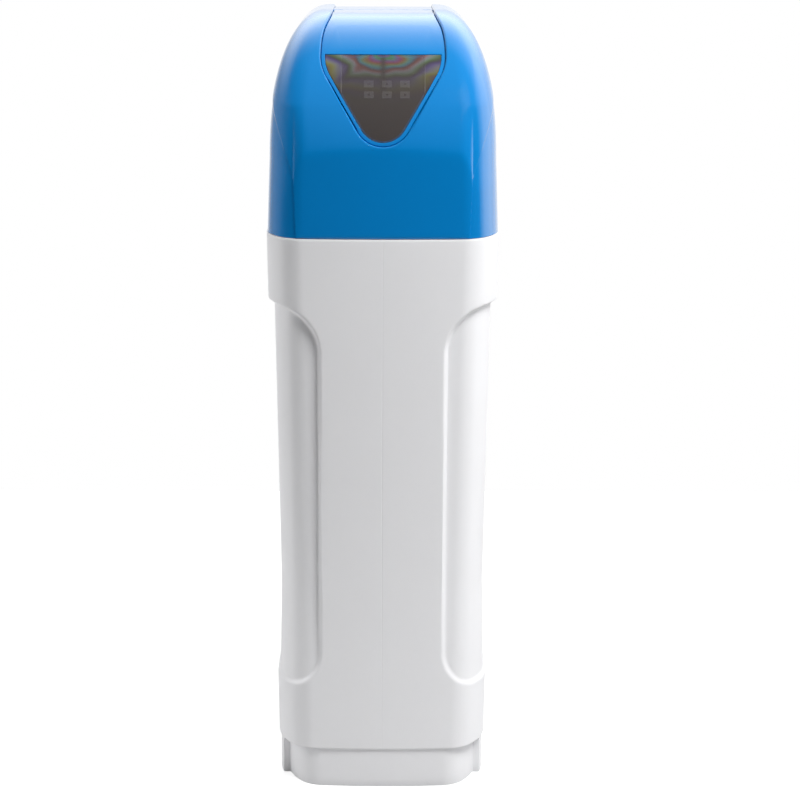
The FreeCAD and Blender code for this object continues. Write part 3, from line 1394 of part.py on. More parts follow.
def make_rotor(name, x, gap):
    """A bypass plug with its handle on top."""
    radius = S.bypass_radius - 4.0 - S.rotor_play
    low = BYPASS_BASE + 4.0 + gap
    solid = fuse(
        name + "_solid",
        rod(name + "_plug", radius, BYPASS_TOP + gap - low, (x, BYPASS_Y, low)),
        rod(name + "_disc", S.bypass_radius - 1.0, 4.0, (x, BYPASS_Y, BYPASS_TOP + gap)),
        block(name + "_handle", (S.handle_width, S.handle_length, S.handle_height),
              (x - S.handle_width / 2.0, BYPASS_Y - S.handle_length / 2.0, BYPASS_TOP + gap + 4.0)))
    way = rod(name + "_way", S.port_bore - 2.5, 60.0, (x, BYPASS_Y - 30.0, AXIS), TO_REAR)
    node(name, cut(name, solid, way))


def make_connection(word, x, start):
    """A pipe nipple and the union nut that holds it."""
    name = word + "_nipple"
    reach = S.pipe_reach - start
    node(name, cut(
        name,
        fuse(name + "_solid", rod(name + "_flange", 20.0, 4.0, (x, start, AXIS), TO_REAR),
             rod(name + "_neck", S.nipple_radius - 0.5, 12.1, (x, start, AXIS), TO_REAR),
             rod(name + "_tube", S.nipple_radius, reach - 12.1, (x, start + 12.1, AXIS), TO_REAR)),
        rod(name + "_bore", S.nipple_bore, reach, (x, start, AXIS), TO_REAR)))
    nut = word + "_nut"
    node(nut, cut(
        nut,
        hexagon(nut + "_hex", 26.0, 11.5, (x, start, AXIS), TO_REAR),
        rod(nut + "_seat", 20.3, 4.3, (x, start, AXIS), TO_REAR),
        rod(nut + "_bore", S.nipple_radius + S.fit_gap, 12.0, (x, start, AXIS), TO_REAR)))


# Brine side

def make_brine():
    """The brine well with its cap, safety valve, float, air check and tube; the grid and the overflow."""
    x, y, gap = -S.well_x, -S.well_y, S.fit_gap
    wall = S.well_wall
    inner = S.well_radius - wall
    shelf = WELL_TOP - 22.0
    slots = []
    for i, turn in enumerate((0.0, 45.0, 90.0, 135.0)):
        slot = doc.addObject("Part::Box", "well_slot_%d" % i)
        bind(slot, "Length", S.well_radius * 2.0 + 4.0)
        bind(slot, "Width", S.well_slot_width)
        bind(slot, "Height", S.well_slot_height)
        spin = math.radians(turn)
        dx, dy = S.well_radius + 2.0, S.well_slot_width / 2.0
        place(slot, x - dx * math.cos(spin) + dy * math.sin(spin),
              y - dx * math.sin(spin) - dy * math.cos(spin),
              FLOOR + 12.0, Rotation(Vector(0, 0, 1), turn))
        slots.append(slot)
    node("brine_well", fuse(
        "brine_well",
        cut("well_tube", rod("well_outside", S.well_radius, S.well_height, (x, y, FLOOR)),
            rod("well_inside", inner, S.well_height, (x, y, FLOOR + wall)), *slots),
        tube("well_shelf", inner + 1.0, inner - 4.0, 4.0, (x, y, shelf - 4.0))))
    node("brine_well_cap", cut(
        "brine_well_cap",
        rod("well_cap_outside", S.well_radius + gap + wall, S.well_cap_lip + S.well_cap_top,
            (x, y, WELL_TOP - S.well_cap_lip)),
        rod("well_cap_inside", S.well_radius + gap, S.well_cap_lip, (x, y, WELL_TOP - S.well_cap_lip)),
        rod("well_cap_hole", 9.5, 40.0, (x, y, WELL_TOP - 20.0)),
        block("well_cap_slot", (19.0, 60.0, 40.0), (x - 9.5, y - 60.0, WELL_TOP - 20.0))))
    make_float_set(x, y, shelf, inner)
    make_brine_tube(x, y)
    make_grid(x, y)
    make_overflow(gap)


def make_float_set(x, y, shelf, inner):
    """The safety valve, the float on its rod, and the air check on its pick-up tube."""
    low = shelf - S.safety_height
    rod_x, pick_x = x + 8.0, x - 9.0
    top = WELL_TOP + 10.0
    node("safety_float_valve", cut(
        "safety_float_valve",
        fuse("safety_solid",
             rod("safety_body", S.safety_radius, S.safety_height, (x, y, low)),
             rod("safety_plate", inner - 0.3, 3.0, (x, y, shelf)),
             rod("safety_neck", 9.0, top - shelf, (x, y, shelf))),
        rod("safety_seat", S.brine_tube_radius + 0.2, 12.0, (x, y, top - 12.0)),
        rod("safety_way", S.brine_tube_bore, top - shelf + 20.0, (x, y, shelf - 20.0)),
        rod("safety_rod_bore", S.float_rod_radius + 0.1, 50.0, (rod_x, y, low)),
        rod("safety_pick_bore", S.brine_tube_radius + 0.1, 12.0, (pick_x, y, low)),
        rod("safety_pick_way", S.brine_tube_bore, 42.0, (pick_x, y, low))))
    float_low = low - S.float_drop
    node("float_rod", fuse(
        "float_rod",
        rod("float_rod_bar", S.float_rod_radius, S.float_drop + 24.0, (rod_x, y, float_low - 4.0)),
        rod("float_rod_foot", 6.0, 4.0, (rod_x, y, float_low - 4.0))))
    node("brine_float", cut(
        "brine_float",
        rod("float_drum", S.float_radius, S.float_height, (x, y, float_low)),
        rod("float_rod_hole", S.float_rod_radius + 0.05, S.float_height, (rod_x, y, float_low)),
        rod("float_pick_hole", S.brine_tube_radius + 1.0, S.float_height, (pick_x, y, float_low))))
    base = FLOOR + S.well_wall
    foot = low - base + 10.0
    node("air_check", cut(
        "air_check",
        fuse("air_check_solid", rod("air_check_cage", 15.0, 62.0, (pick_x, y, base)),
             rod("air_check_pipe", S.brine_tube_radius, foot, (pick_x, y, base))),
        rod("air_check_way", S.brine_tube_bore, foot + 1.0, (pick_x, y, base + 6.0)),
        block("air_check_window_x", (40.0, 12.0, 26.0), (pick_x - 20.0, y - 6.0, base + 8.0)),
        block("air_check_window_y", (12.0, 40.0, 26.0), (pick_x - 6.0, y - 20.0, base + 8.0))))


def make_brine_tube(x, y):
    """The tube from the valve's elbow forward, round a bend and down into the safety valve."""
    bend = 30.0
    z = BRINE_Z
    start = BRINE_Y - 11.0
    corner = y + bend
    low = WELL_TOP - 1.0
    turned = Rotation(Vector(0, 0, 1), Vector(0, -1, 0), Vector(1, 0, 0), "ZXY")

    def run(name, radius):
        return fuse(
            name,
            rod(name + "_level", radius, start - corner, (x, start, z), TO_FRONT),
            primitive("Torus", name + "_bend", (x, corner, z - bend), turned,
                      Radius1=bend, Radius2=radius, Angle3=90.0),
            rod(name + "_drop", radius, z - bend - low, (x, y, low)))

    node("brine_tube", cut("brine_tube", run("brine_tube_outside", S.brine_tube_radius),
                           run("brine_tube_inside", S.brine_tube_bore)))


def make_grid(x, y):
    """The slotted grid that keeps the salt off the floor, on its five legs."""
    top, wall = S.grid_height, S.grid_wall
    inset = S.cabinet_wall + 1.5
    plate = lofted("grid_form", [
        (plan_outline(*envelope(top), inset=inset + 0.2), top - wall),
        (plan_outline(*envelope(top), inset=inset), top),
    ])
    tools = [
        block("grid_trim", (2 * BIG, BIG, BIG), (-BIG, -48.0, 0.0)),
        rod("grid_vessel_space", S.vessel_radius + 6.0, BIG, (0, S.vessel_y, 0)),
        rod("grid_well_space", S.well_radius + 1.5, BIG, (x, y, 0)),
    ]
    for row in range(6):
        for column in range(4):
            tools.append(block("grid_slot_%d_%d" % (row, column), (24.0, 6.0, 20.0),
                               (-18.0 + 34.0 * column, -222.0 + 26.0 * row, top - 12.0)))
    places = ((124.0, -86.0), (-128.0, -72.0), (96.0, -204.0), (-20.0, -204.0), (-20.0, -76.0))
    legs = [
        rod("grid_leg_%d" % i, 7.0, top - wall - FLOOR + 1.0, (lx, ly, FLOOR))
        for i, (lx, ly) in enumerate(places)
    ]
    node("salt_grid", fuse("salt_grid", cut("grid_plate", plate, *tools), *legs))


def make_overflow(gap):
    """The overflow elbow through the rear wall, and its nut."""
    x, z = -S.overflow_x, S.overflow_height
    share = (z - S.plinth_height) / (S.seam_height - S.plinth_height)
    skin = S.rear_reach_foot + (S.rear_reach - S.rear_reach_foot) * share
    inner = skin - S.cabinet_wall
    reach = S.pipe_reach - 1.0
    node("overflow_elbow", cut(
        "overflow_elbow",
        fuse("overflow_solid",
             rod("overflow_thread", S.overflow_radius, skin - inner + 20.0, (x, inner - 18.0, z), TO_REAR),
             rod("overflow_flange", 14.0, 3.0, (x, skin + gap, z), TO_REAR),
             rod("overflow_barb", S.overflow_radius - 1.0, reach - skin, (x, skin, z), TO_REAR),
             primitive("Sphere", "overflow_turn", (x, inner - 18.0, z), Radius=S.overflow_radius),
             rod("overflow_drop", S.overflow_radius, 24.0, (x, inner - 18.0, z - 24.0))),
        rod("overflow_way", S.overflow_bore, reach - inner + 20.0, (x, inner - 18.0, z), TO_REAR),
        rod("overflow_way_down", S.overflow_bore, 26.0, (x, inner - 18.0, z - 26.0))))
    node("overflow_nut", cut(
        "overflow_nut",
        hexagon("overflow_hex", 15.0, 6.0, (x, inner - gap - 6.2, z), TO_REAR),
        rod("overflow_nut_bore", S.overflow_radius + 0.1, 10.0, (x, inner - gap - 8.0, z), TO_REAR)))


def check_and_write():
    """Stops on a failed object or an unsound piece, then writes one file for each piece."""
    doc.recompute()
    for thing in doc.Objects:
        if "Invalid" in thing.State or "Error" in thing.State:
            raise RuntimeError("failed: %s %s" % (thing.Label, thing.State))
    os.makedirs("parts", exist_ok=True)
    for label, thing in nodes.items():
        shape = thing.Shape
        if shape.isNull() or not shape.isValid() or not shape.Solids:
            raise RuntimeError("unsound piece: " + label)
        shape.exportStep("parts/%s.step" % label)
        box = shape.BoundBox
        print("%-22s solids %d faces %d volume %.0f  x %.1f..%.1f y %.1f..%.1f z %.1f..%.1f" % (
            label, len(shape.Solids), len(shape.Faces), shape.Volume,
            box.XMin, box.XMax, box.YMin, box.YMax, box.ZMin, box.ZMax))


make_vessel()
make_valve()
make_head()
make_bypass()
make_brine()
make_cabinet()
make_hood()
check_and_write()
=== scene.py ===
"""The looks of the cabinet water filter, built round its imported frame.

Shapes are worked out in millimetres and made in metres, in the frame's own axes: +Z is up and
the front faces -Y. A row of points is (n, 3), and a grid is (rows, columns, 3).
"""

from __future__ import annotations

import logging
import math
from dataclasses import dataclass
from enum import Enum
from typing import Callable, Sequence

import bmesh
import bpy
import numpy as np
from mathutils import Matrix, Vector

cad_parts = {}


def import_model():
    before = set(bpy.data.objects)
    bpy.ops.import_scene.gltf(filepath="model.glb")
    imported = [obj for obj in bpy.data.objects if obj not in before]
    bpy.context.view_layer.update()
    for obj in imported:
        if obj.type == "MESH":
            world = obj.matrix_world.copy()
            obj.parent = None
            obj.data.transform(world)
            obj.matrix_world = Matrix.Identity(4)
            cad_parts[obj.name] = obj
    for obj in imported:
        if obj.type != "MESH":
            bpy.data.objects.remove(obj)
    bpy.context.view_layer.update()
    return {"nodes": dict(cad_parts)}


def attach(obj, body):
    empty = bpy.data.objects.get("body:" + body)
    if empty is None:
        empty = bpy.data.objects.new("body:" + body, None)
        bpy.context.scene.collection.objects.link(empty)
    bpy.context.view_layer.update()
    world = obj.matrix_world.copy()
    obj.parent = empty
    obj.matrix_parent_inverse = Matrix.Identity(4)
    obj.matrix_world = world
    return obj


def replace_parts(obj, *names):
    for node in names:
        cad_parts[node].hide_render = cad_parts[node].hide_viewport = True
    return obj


LOG = logging.getLogger("water_filter")
MM = 0.001
QUARTER = math.pi / 2.0
TINY = 1e-9
MERGE = 1e-6
HALVINGS = 40
MIRROR = np.array([-1.0, 1.0, 1.0])
UPRIGHT = np.array([0.0, 1.0, 1.0])

Colour = tuple[float, float, float]
Array = np.ndarray
Node = bpy.types.Node
Socket = bpy.types.NodeSocket
Material = bpy.types.Material
Thing = bpy.types.Object


def srgb(red: int, green: int, blue: int) -> Colour:
    """Turns a display colour of 0 to 255 into the linear colour that a shader takes.

    Args:
        red: display red.
        green: display green.
        blue: display blue.

    Returns:
        The same colour, linear.
    """
    def one(value: int) -> float:
        """One channel, by the display standard's own curve."""
        share = value / 255.0
        return share / 12.92 if share <= 0.04045 else ((share + 0.055) / 1.055) ** 2.4
    return one(red), one(green), one(blue)


def opaque(colour: Colour, gain: float = 1.0) -> tuple[float, ...]:
    """A colour made brighter or darker, with an alpha of 1."""
    return (*(value * gain for value in colour), 1.0)


class NodeSheet:
    """A node tree with short calls for adding and wiring nodes."""

    def __init__(self, tree: bpy.types.NodeTree) -> None:
        """Keeps the tree that nodes are added to."""
        self.tree = tree

    def feed(self, value: object, socket: Socket) -> None:
        """Wires a socket from another socket, or sets its value.

        Args:
            value: a socket or a plain value.
            socket: the input that takes it.
        """
        if isinstance(value, Socket):
            self.tree.links.new(value, socket)
        else:
            socket.default_value = value

    def wire(self, node: Node, **values: object) -> None:
        """Sets or wires a node's inputs.

        Args:
            node: the node.
            **values: inputs by name with underscores for spaces, or by place as at_0, each a
                value or a socket.
        """
        for key, value in values.items():
            name = key.replace("_", " ")
            place = int(name[3:]) if name.startswith("at ") else name
            self.feed(value, node.inputs[place])

    def add(self, kind: str, settings: dict[str, object] | None = None, **values: object) -> Node:
        """Adds a node, sets its properties, and sets or wires its inputs.

        Args:
            kind: the node's type name.
            settings: the node's own properties.
            **values: inputs, as wire takes them.

        Returns:
            The new node.
        """
        node = self.tree.nodes.new(kind)
        for key, value in (settings or {}).items():
            setattr(node, key, value)
        self.wire(node, **values)
        return node

    def maths(self, operation: str, *values: object, clamp: bool = False) -> Socket:
        """Adds a maths node.

        Args:
            operation: what it works out.
            *values: its inputs in order, each a value or a socket.
            clamp: keeps the result between 0 and 1.

        Returns:
            Its result.
        """
        node = self.add("ShaderNodeMath", {"operation": operation, "use_clamp": clamp})
        for value, socket in zip(values, node.inputs):
            self.feed(value, socket)
        return node.outputs[0]

    def times(self, first: object, second: object, clamp: bool = False) -> Socket:
        """The product of two values."""
        return self.maths("MULTIPLY", first, second, clamp=clamp)

    def plus(self, first: object, second: object, clamp: bool = False) -> Socket:
        """The sum of two values."""
        return self.maths("ADD", first, second, clamp=clamp)

    def less(self, first: object, second: object, clamp: bool = False) -> Socket:
        """The first value less the second."""
        return self.maths("SUBTRACT", first, second, clamp=clamp)

    def times_plus(self, first: object, second: object, third: object) -> Socket:
        """The product of two values, plus a third."""
        return self.maths("MULTIPLY_ADD", first, second, third)

    def length(self, first: object, second: object) -> Socket:
        """The length of a step that goes one value across and another down."""
        return self.maths("SQRT", self.plus(self.maths("POWER", first, 2.0),
                                            self.maths("POWER", second, 2.0)))

    def hill(self, value: Socket, centre: float, width: float) -> Socket:
        """A bell curve round a centre: e to the minus square of the way from it over the width."""
        share = self.maths("DIVIDE", self.less(value, centre), width)
        return self.maths("EXPONENT", self.times(self.times(share, share), -1.0))

    def slope(self, value: Socket, start: float, end: float, low: float, high: float) -> Socket:
        """A smooth step of a value.

        Args:
            value: the value.
            start: where the step starts.
            end: where it ends.
            low: what it gives at its start.
            high: what it gives at its end.

        Returns:
            The step's result.
        """
        return self.add("ShaderNodeMapRange", {"interpolation_type": "SMOOTHSTEP"}, Value=value,
                        From_Min=start, From_Max=end, To_Min=low, To_Max=high).outputs[0]

    def noise(self, where: Socket, scale: object, detail: float, **more: float) -> Socket:
        """A cloudy noise of a place."""
        return self.add("ShaderNodeTexNoise", Vector=where, Scale=scale, Detail=detail,
                        **more).outputs[0]

    def bump(self, height: Socket, distance: object, **more: Socket) -> Socket:
        """The normal of a surface raised by a height."""
        return self.add("ShaderNodeBump", Height=height, Distance=distance, **more).outputs[0]

    def mix(self, share: object, first: object, second: object, blend: str = "MIX") -> Socket:
        """Adds a colour mix.

        Args:
            share: how much of the second colour there is.
            first: the first colour.
            second: the second colour.
            blend: how the second is laid on the first.

        Returns:
            The mixed colour.
        """
        settings = {"data_type": "RGBA", "blend_type": blend}
        return self.add("ShaderNodeMix", settings, at_0=share, at_6=first, at_7=second).outputs[2]


class Group(Enum):
    """The shared shader effects, each a node group."""

    TONE = "moulded_tone"
    GRAIN = "surface_grain"
    STREAK = "drawn_streak"


class Kind(Enum):
    """The kinds of socket that a group has."""

    NUMBER = "NodeSocketFloat"
    COLOUR = "NodeSocketColor"
    VECTOR = "NodeSocketVector"


class Effects:
    """Makes the shared node groups once and hands them out."""

    def __init__(self) -> None:
        """Builds every group."""
        self.trees = {Group.TONE: self._tone(), Group.GRAIN: self._grain(),
                      Group.STREAK: self._streak()}

    @staticmethod
    def _start(group: Group, inputs: dict[str, tuple[Kind, object]], outputs: dict[str, Kind]
               ) -> tuple[NodeSheet, bpy.types.NodeOutputs, bpy.types.NodeInputs]:
        """Starts a group whose first input is the place that it reads.

        Args:
            group: the effect.
            inputs: kind and default of each further input, by name.
            outputs: kind of each output, by name.

        Returns:
            The sheet, what the group is given, and what it gives.
        """
        tree = bpy.data.node_groups.new(group.value, "ShaderNodeTree")
        tree.interface.new_socket("Vector", in_out="INPUT", socket_type=Kind.VECTOR.value)
        for label, (kind, default) in inputs.items():
            socket = tree.interface.new_socket(label, in_out="INPUT", socket_type=kind.value)
            socket.default_value = default
        for label, kind in outputs.items():
            tree.interface.new_socket(label, in_out="OUTPUT", socket_type=kind.value)
        sheet = NodeSheet(tree)
        return sheet, sheet.add("NodeGroupInput").outputs, sheet.add("NodeGroupOutput").inputs

    def _tone(self) -> bpy.types.NodeTree:
        """A slow cloudy drift of a colour, as moulded plastic has, with a fine mottle on it.

        The drift is three quarters of a noise and a quarter of one that is 14 times finer, spread
        over -1 to 1.

        Returns:
            The group's tree.
        """
        sheet, given, result = self._start(
            Group.TONE,
            {"Colour": (Kind.COLOUR, (0.8, 0.8, 0.8, 1)), "Scale": (Kind.NUMBER, 8.0),
             "Strength": (Kind.NUMBER, 0.04)},
            {"Colour": Kind.COLOUR, "Drift": Kind.NUMBER})
        broad = sheet.noise(given["Vector"], given["Scale"], 3.0, Roughness=0.5)
        fine = sheet.noise(given["Vector"], sheet.times(given["Scale"], 14.0), 2.0)
        both = sheet.plus(sheet.times(broad, 0.75), sheet.times(fine, 0.25))
        drift = sheet.times(sheet.less(both, 0.5), 2.0)
        gain = sheet.plus(1.0, sheet.times(drift, given["Strength"]))
        grey = sheet.add("ShaderNodeCombineColor", Red=gain, Green=gain, Blue=gain)
        toned = sheet.mix(1.0, given["Colour"], grey.outputs[0], "MULTIPLY")
        sheet.feed(toned, result["Colour"])
        sheet.feed(drift, result["Drift"])
        return sheet.tree

    def _grain(self) -> bpy.types.NodeTree:
        """The spark-eroded grain of a mould as a bump, over slow waves of uneven shrinkage.

        Returns:
            The group's tree.
        """
        sheet, given, result = self._start(
            Group.GRAIN,
            {"Scale": (Kind.NUMBER, 900.0), "Depth": (Kind.NUMBER, 0.00002),
             "Wave Depth": (Kind.NUMBER, 0.0001), "Wave Scale": (Kind.NUMBER, 9.0)},
            {"Normal": Kind.VECTOR})
        grain = sheet.noise(given["Vector"], given["Scale"], 1.0)
        wave = sheet.noise(given["Vector"], given["Wave Scale"], 1.0)
        slow = sheet.bump(wave, given["Wave Depth"])
        sheet.feed(sheet.bump(grain, given["Depth"], Normal=slow), result["Normal"])
        return sheet.tree

    def _streak(self) -> bpy.types.NodeTree:
        """Fine lines along one axis, as drawn or turned metal has.

        Returns:
            The group's tree.
        """
        sheet, given, result = self._start(
            Group.STREAK,
            {"Stretch": (Kind.VECTOR, (1, 1, 40)), "Depth": (Kind.NUMBER, 0.00003)},
            {"Lines": Kind.NUMBER, "Normal": Kind.VECTOR})
        placed = sheet.add("ShaderNodeVectorMath", {"operation": "MULTIPLY"},
                           at_0=given["Vector"], at_1=given["Stretch"])
        lines = sheet.noise(placed.outputs[0], 40.0, 3.0)
        bump = sheet.bump(lines, given["Depth"])
        sheet.feed(lines, result["Lines"])
        sheet.feed(bump, result["Normal"])
        return sheet.tree


class Workshop:
    """What every finish needs: a fresh material and the shared effects."""

    effects: Effects

    @classmethod
    def open(cls) -> None:
        """Builds the shared effects."""
        cls.effects = Effects()

    @classmethod
    def blank(cls, name: str) -> tuple[Material, NodeSheet, Node, Socket]:
        """A new material.

        Args:
            name: the material's name.

        Returns:
            The material, its sheet, its Principled node and the object coordinates.
        """
        material = bpy.data.materials.new(name)
        material.use_nodes = True
        material.node_tree.nodes.clear()
        sheet = NodeSheet(material.node_tree)
        surface = sheet.add("ShaderNodeBsdfPrincipled")
        sheet.add("ShaderNodeOutputMaterial", Surface=surface.outputs[0])
        return material, sheet, surface, sheet.add("ShaderNodeTexCoord").outputs["Object"]

    @classmethod
    def effect(cls, sheet: NodeSheet, group: Group, **values: object) -> bpy.types.NodeOutputs:
        """Adds a shared effect to a sheet.

        Args:
            sheet: the sheet.
            group: the effect.
            **values: its inputs, as wire takes them.

        Returns:
            What the effect gives.
        """
        return sheet.add("ShaderNodeGroup", {"node_tree": cls.effects.trees[group]},
                         **values).outputs


@dataclass(frozen=True)
class Moulded:
    """A moulded plastic."""

    name: str
    colour: Colour
    roughness: float = 0.4
    tone: float = 0.05
    tone_scale: float = 8.0
    grain_scale: float = 900.0
    grain_depth: float = 0.00002
    wave_depth: float = 0.00006
    wave_scale: float = 9.0
    coat: float = 0.0
    coat_roughness: float = 0.03
    ior: float = 1.46
    scatter: float = 0.0
    scatter_radius: Colour = (1.0, 0.95, 0.9)
    scatter_scale: float = 0.004
    # Emission that paints light onto the part: a painted glow, not a lamp.
    painted_glow: float = 0.0
    rough_drift: float = 0.05

    def make(self) -> Material:
        """Builds the material: its colour and roughness drift together, over a bump of grain.

        Returns:
            The material.
        """
        material, sheet, surface, where = Workshop.blank(self.name)
        tone = Workshop.effect(sheet, Group.TONE, Vector=where, Colour=opaque(self.colour),
                               Scale=self.tone_scale, Strength=self.tone)
        grain = Workshop.effect(sheet, Group.GRAIN, Vector=where, Scale=self.grain_scale,
                                Depth=self.grain_depth, Wave_Depth=self.wave_depth,
                                Wave_Scale=self.wave_scale)
        drift = sheet.times(tone["Drift"], self.rough_drift)
        sheet.wire(surface, Base_Color=tone["Colour"], Normal=grain["Normal"],
                   Roughness=sheet.plus(self.roughness, drift, clamp=True), IOR=self.ior,
                   Coat_Weight=self.coat, Coat_Roughness=self.coat_roughness)
        if self.scatter:
            sheet.wire(surface, Subsurface_Weight=self.scatter,
                       Subsurface_Radius=self.scatter_radius,
                       Subsurface_Scale=self.scatter_scale)
        # A painted glow: emission standing in for light that doesn't reach the part.
        if self.painted_glow:
            sheet.wire(surface, Emission_Color=opaque(self.colour), Emission_Strength=self.painted_glow)
        return material


@dataclass(frozen=True)
class Metal:
    """A drawn or turned metal."""

    name: str
    colour: Colour
    roughness: float = 0.3
    stretch: tuple[float, float, float] = (1.0, 30.0, 1.0)
    shade: float = 0.8
    spread: float = 0.16

    def make(self) -> Material:
        """Builds the material: darker, smoother lines in a brighter, rougher ground.

        Returns:
            The material.
        """
        material, sheet, surface, where = Workshop.blank(self.name)
        streak = Workshop.effect(sheet, Group.STREAK, Vector=where, Stretch=self.stretch)
        colour = sheet.mix(streak["Lines"], opaque(self.colour, self.shade), opaque(self.colour))
        rough = sheet.plus(self.roughness - self.spread / 2.0,
                           sheet.times(streak["Lines"], self.spread))
        sheet.wire(surface, Base_Color=colour, Roughness=rough, Normal=streak["Normal"],
                   Metallic=1.0)
        return material


@dataclass(frozen=True)
class WoundFibre:
    """Glass fibre wound slantwise round the vessel, under clear resin."""

    name: str = "wound_fibre"
    colour: Colour = srgb(70, 96, 122)
    axis: float = 0.084
    slopes: tuple[float, float] = (12.0, -12.0)
    pace: float = 210.0
    shade: float = 0.7
    depth: float = 0.0003
    roughness: float = 0.35
    coat: float = 0.5

    def make(self) -> Material:
        """Builds the material: two sets of waves of the turn round the axis and of the height.

        Returns:
            The material.
        """
        material, sheet, surface, where = Workshop.blank(self.name)
        parts = sheet.add("ShaderNodeSeparateXYZ", Vector=where).outputs
        turn = sheet.maths("ARCTAN2", sheet.less(parts[1], self.axis), parts[0])
        bands = []
        for slope in self.slopes:
            along = sheet.plus(sheet.times(turn, slope), sheet.times(parts[2], self.pace))
            bands.append(sheet.maths("SINE", along))
        share = sheet.plus(sheet.times(sheet.plus(*bands), 0.25), 0.5, clamp=True)
        colour = sheet.mix(share, opaque(self.colour, self.shade), opaque(self.colour))
        sheet.wire(surface, Base_Color=colour, Normal=sheet.bump(share, self.depth),
                   Roughness=self.roughness, Coat_Weight=self.coat)
        return material


@dataclass(frozen=True)
class SmokedClear:
    """Smoked clear plastic that shows bands of stress colour in its upper half.

    The bands are cosines of the stress, at another pace for each of red, green and blue. They are a
    painted sheen: colours that stress in the pane shows only in polarized light.
    """

    name: str = "smoked_clear"
    tint: Colour = srgb(92, 86, 84)
    see_through: float = 0.58
    gate: float = 1081.0
    bands: float = 0.17
    waves: tuple[tuple[float, float], ...] = ((1.0, 0.0), (1.22, -0.4), (1.5, -0.9))
    wave_size: float = 0.36
    wave_middle: float = 0.46
    top_row: tuple[float, float] = (6.0, 30.0)
    gap_width: float = 4.5
    gap_depth: float = 0.8
    mask: tuple[float, float] = (57.0, 61.0)
    mask_shade: float = 0.5
    mask_clear: float = 0.06
    arc_pace: float = 2.6
    arc_stretch: float = 2.0
    side: float = 25.0
    side_width: float = 16.0
    side_pace: float = 4.0
    side_stretch: float = 2.6
    drift_pace: float = 11.0
    drift_scale: float = 15.0
    roughness: float = 0.08
    coat: float = 0.3

    def _stress(self, sheet: NodeSheet, where: Socket, across: Socket, down: Socket) -> Socket:
        """The stress: long arcs round the middle of the top edge, small ones beside it, and drift.

        Args:
            sheet: the material's sheet.
            where: the place.
            across: the distance across from the middle.
            down: the distance down from the top edge.

        Returns:
            The stress, as a phase.
        """
        drift = sheet.noise(where, self.drift_scale, 1.5, Roughness=0.45, Distortion=0.8)
        wide = sheet.length(sheet.maths("ABSOLUTE", across), sheet.times(down, self.arc_stretch))
        beside = sheet.less(sheet.maths("ABSOLUTE", across), self.side)
        small = sheet.length(sheet.maths("ABSOLUTE", beside),
                             sheet.times(down, self.side_stretch))
        near = sheet.hill(small, 0.0, self.side_width)
        phase = sheet.plus(sheet.times(sheet.maths("SQRT", wide), self.arc_pace),
                           sheet.times(near, self.side_pace))
        return sheet.plus(phase, sheet.times(drift, self.drift_pace))

    def make(self) -> Material:
        """Builds the material: a tinted gloss sheet with the bands, masked outside the keypad.

        Returns:
            The material.
        """
        material, sheet, surface, where = Workshop.blank(self.name)
        parts = sheet.add("ShaderNodeSeparateXYZ", Vector=where).outputs
        across = sheet.times(parts[0], 1.0 / MM)
        down = sheet.less(self.gate, sheet.times(parts[2], 1.0 / MM))
        stress = self._stress(sheet, where, across, down)
        # Painted sheen: red, green and blue cosines of the stress, standing in for the colours that
        # polarized light shows in the stressed pane.
        red, green, blue = [
            sheet.plus(sheet.times(sheet.maths("COSINE", sheet.times_plus(stress, pace, offset)),
                                   self.wave_size), self.wave_middle)
            for pace, offset in self.waves]
        painted_sheen_colours = sheet.add("ShaderNodeCombineColor", Red=red, Green=green, Blue=blue).outputs[0]
        gap = sheet.hill(across, 0.0, self.gap_width)
        gap = sheet.less(1.0, sheet.times(gap, self.gap_depth))
        share = sheet.times(sheet.times(sheet.hill(down, *self.top_row), gap), self.bands,
                            clamp=True)
        border = sheet.slope(sheet.maths("ABSOLUTE", across), *self.mask, 0.0, 1.0)
        tint = sheet.mix(sheet.times(border, self.mask_shade), opaque(self.tint),
                         (0.0, 0.0, 0.0, 1.0))
        clear = sheet.times_plus(border, self.mask_clear - self.see_through, self.see_through)
        clear = sheet.times(sheet.less(1.0, share), clear)
        sheet.wire(surface, Base_Color=sheet.mix(share, tint, painted_sheen_colours),
                   Alpha=sheet.less(1.0, clear), Roughness=self.roughness, Coat_Weight=self.coat)
        return material


@dataclass(frozen=True)
class ScreenGlass:
    """The dark screen of the power head."""

    name: str = "screen_glass"
    colour: Colour = srgb(20, 26, 30)
    tone: float = 0.2
    tone_scale: float = 60.0
    roughness: float = 0.08
    coat: float = 0.5

    def make(self) -> Material:
        """Builds the material: a dark colour with a slight drift, under a gloss.

        Returns:
            The material.
        """
        material, sheet, surface, where = Workshop.blank(self.name)
        tone = Workshop.effect(sheet, Group.TONE, Vector=where, Colour=opaque(self.colour),
                               Scale=self.tone_scale, Strength=self.tone)
        sheet.wire(surface, Base_Color=tone["Colour"], Roughness=self.roughness,
                   Coat_Weight=self.coat)
        return material


Finish = Moulded | Metal | WoundFibre | SmokedClear | ScreenGlass

WHITE_SHELL = Moulded("white_shell", srgb(240, 240, 242), roughness=0.42, tone=0.02,
                      grain_depth=0.000012, wave_depth=0.00012, wave_scale=7.0, scatter=0.08)
HOOD_BLUE = Moulded("hood_blue", srgb(0, 127, 200), roughness=0.2, tone=0.02, grain_depth=0.0,
                    wave_depth=0.00004, coat=0.8)
VALVE_BLACK = Moulded("valve_black", srgb(34, 34, 36), roughness=0.5, tone=0.12,
                      grain_depth=0.00004)
VALVE_GREY = Moulded("valve_grey", srgb(92, 95, 100), roughness=0.5, tone=0.08,
                     grain_depth=0.00004)
HOUSING = Moulded("housing_grey", srgb(96, 92, 92), tone=0.06, grain_depth=0.00003)
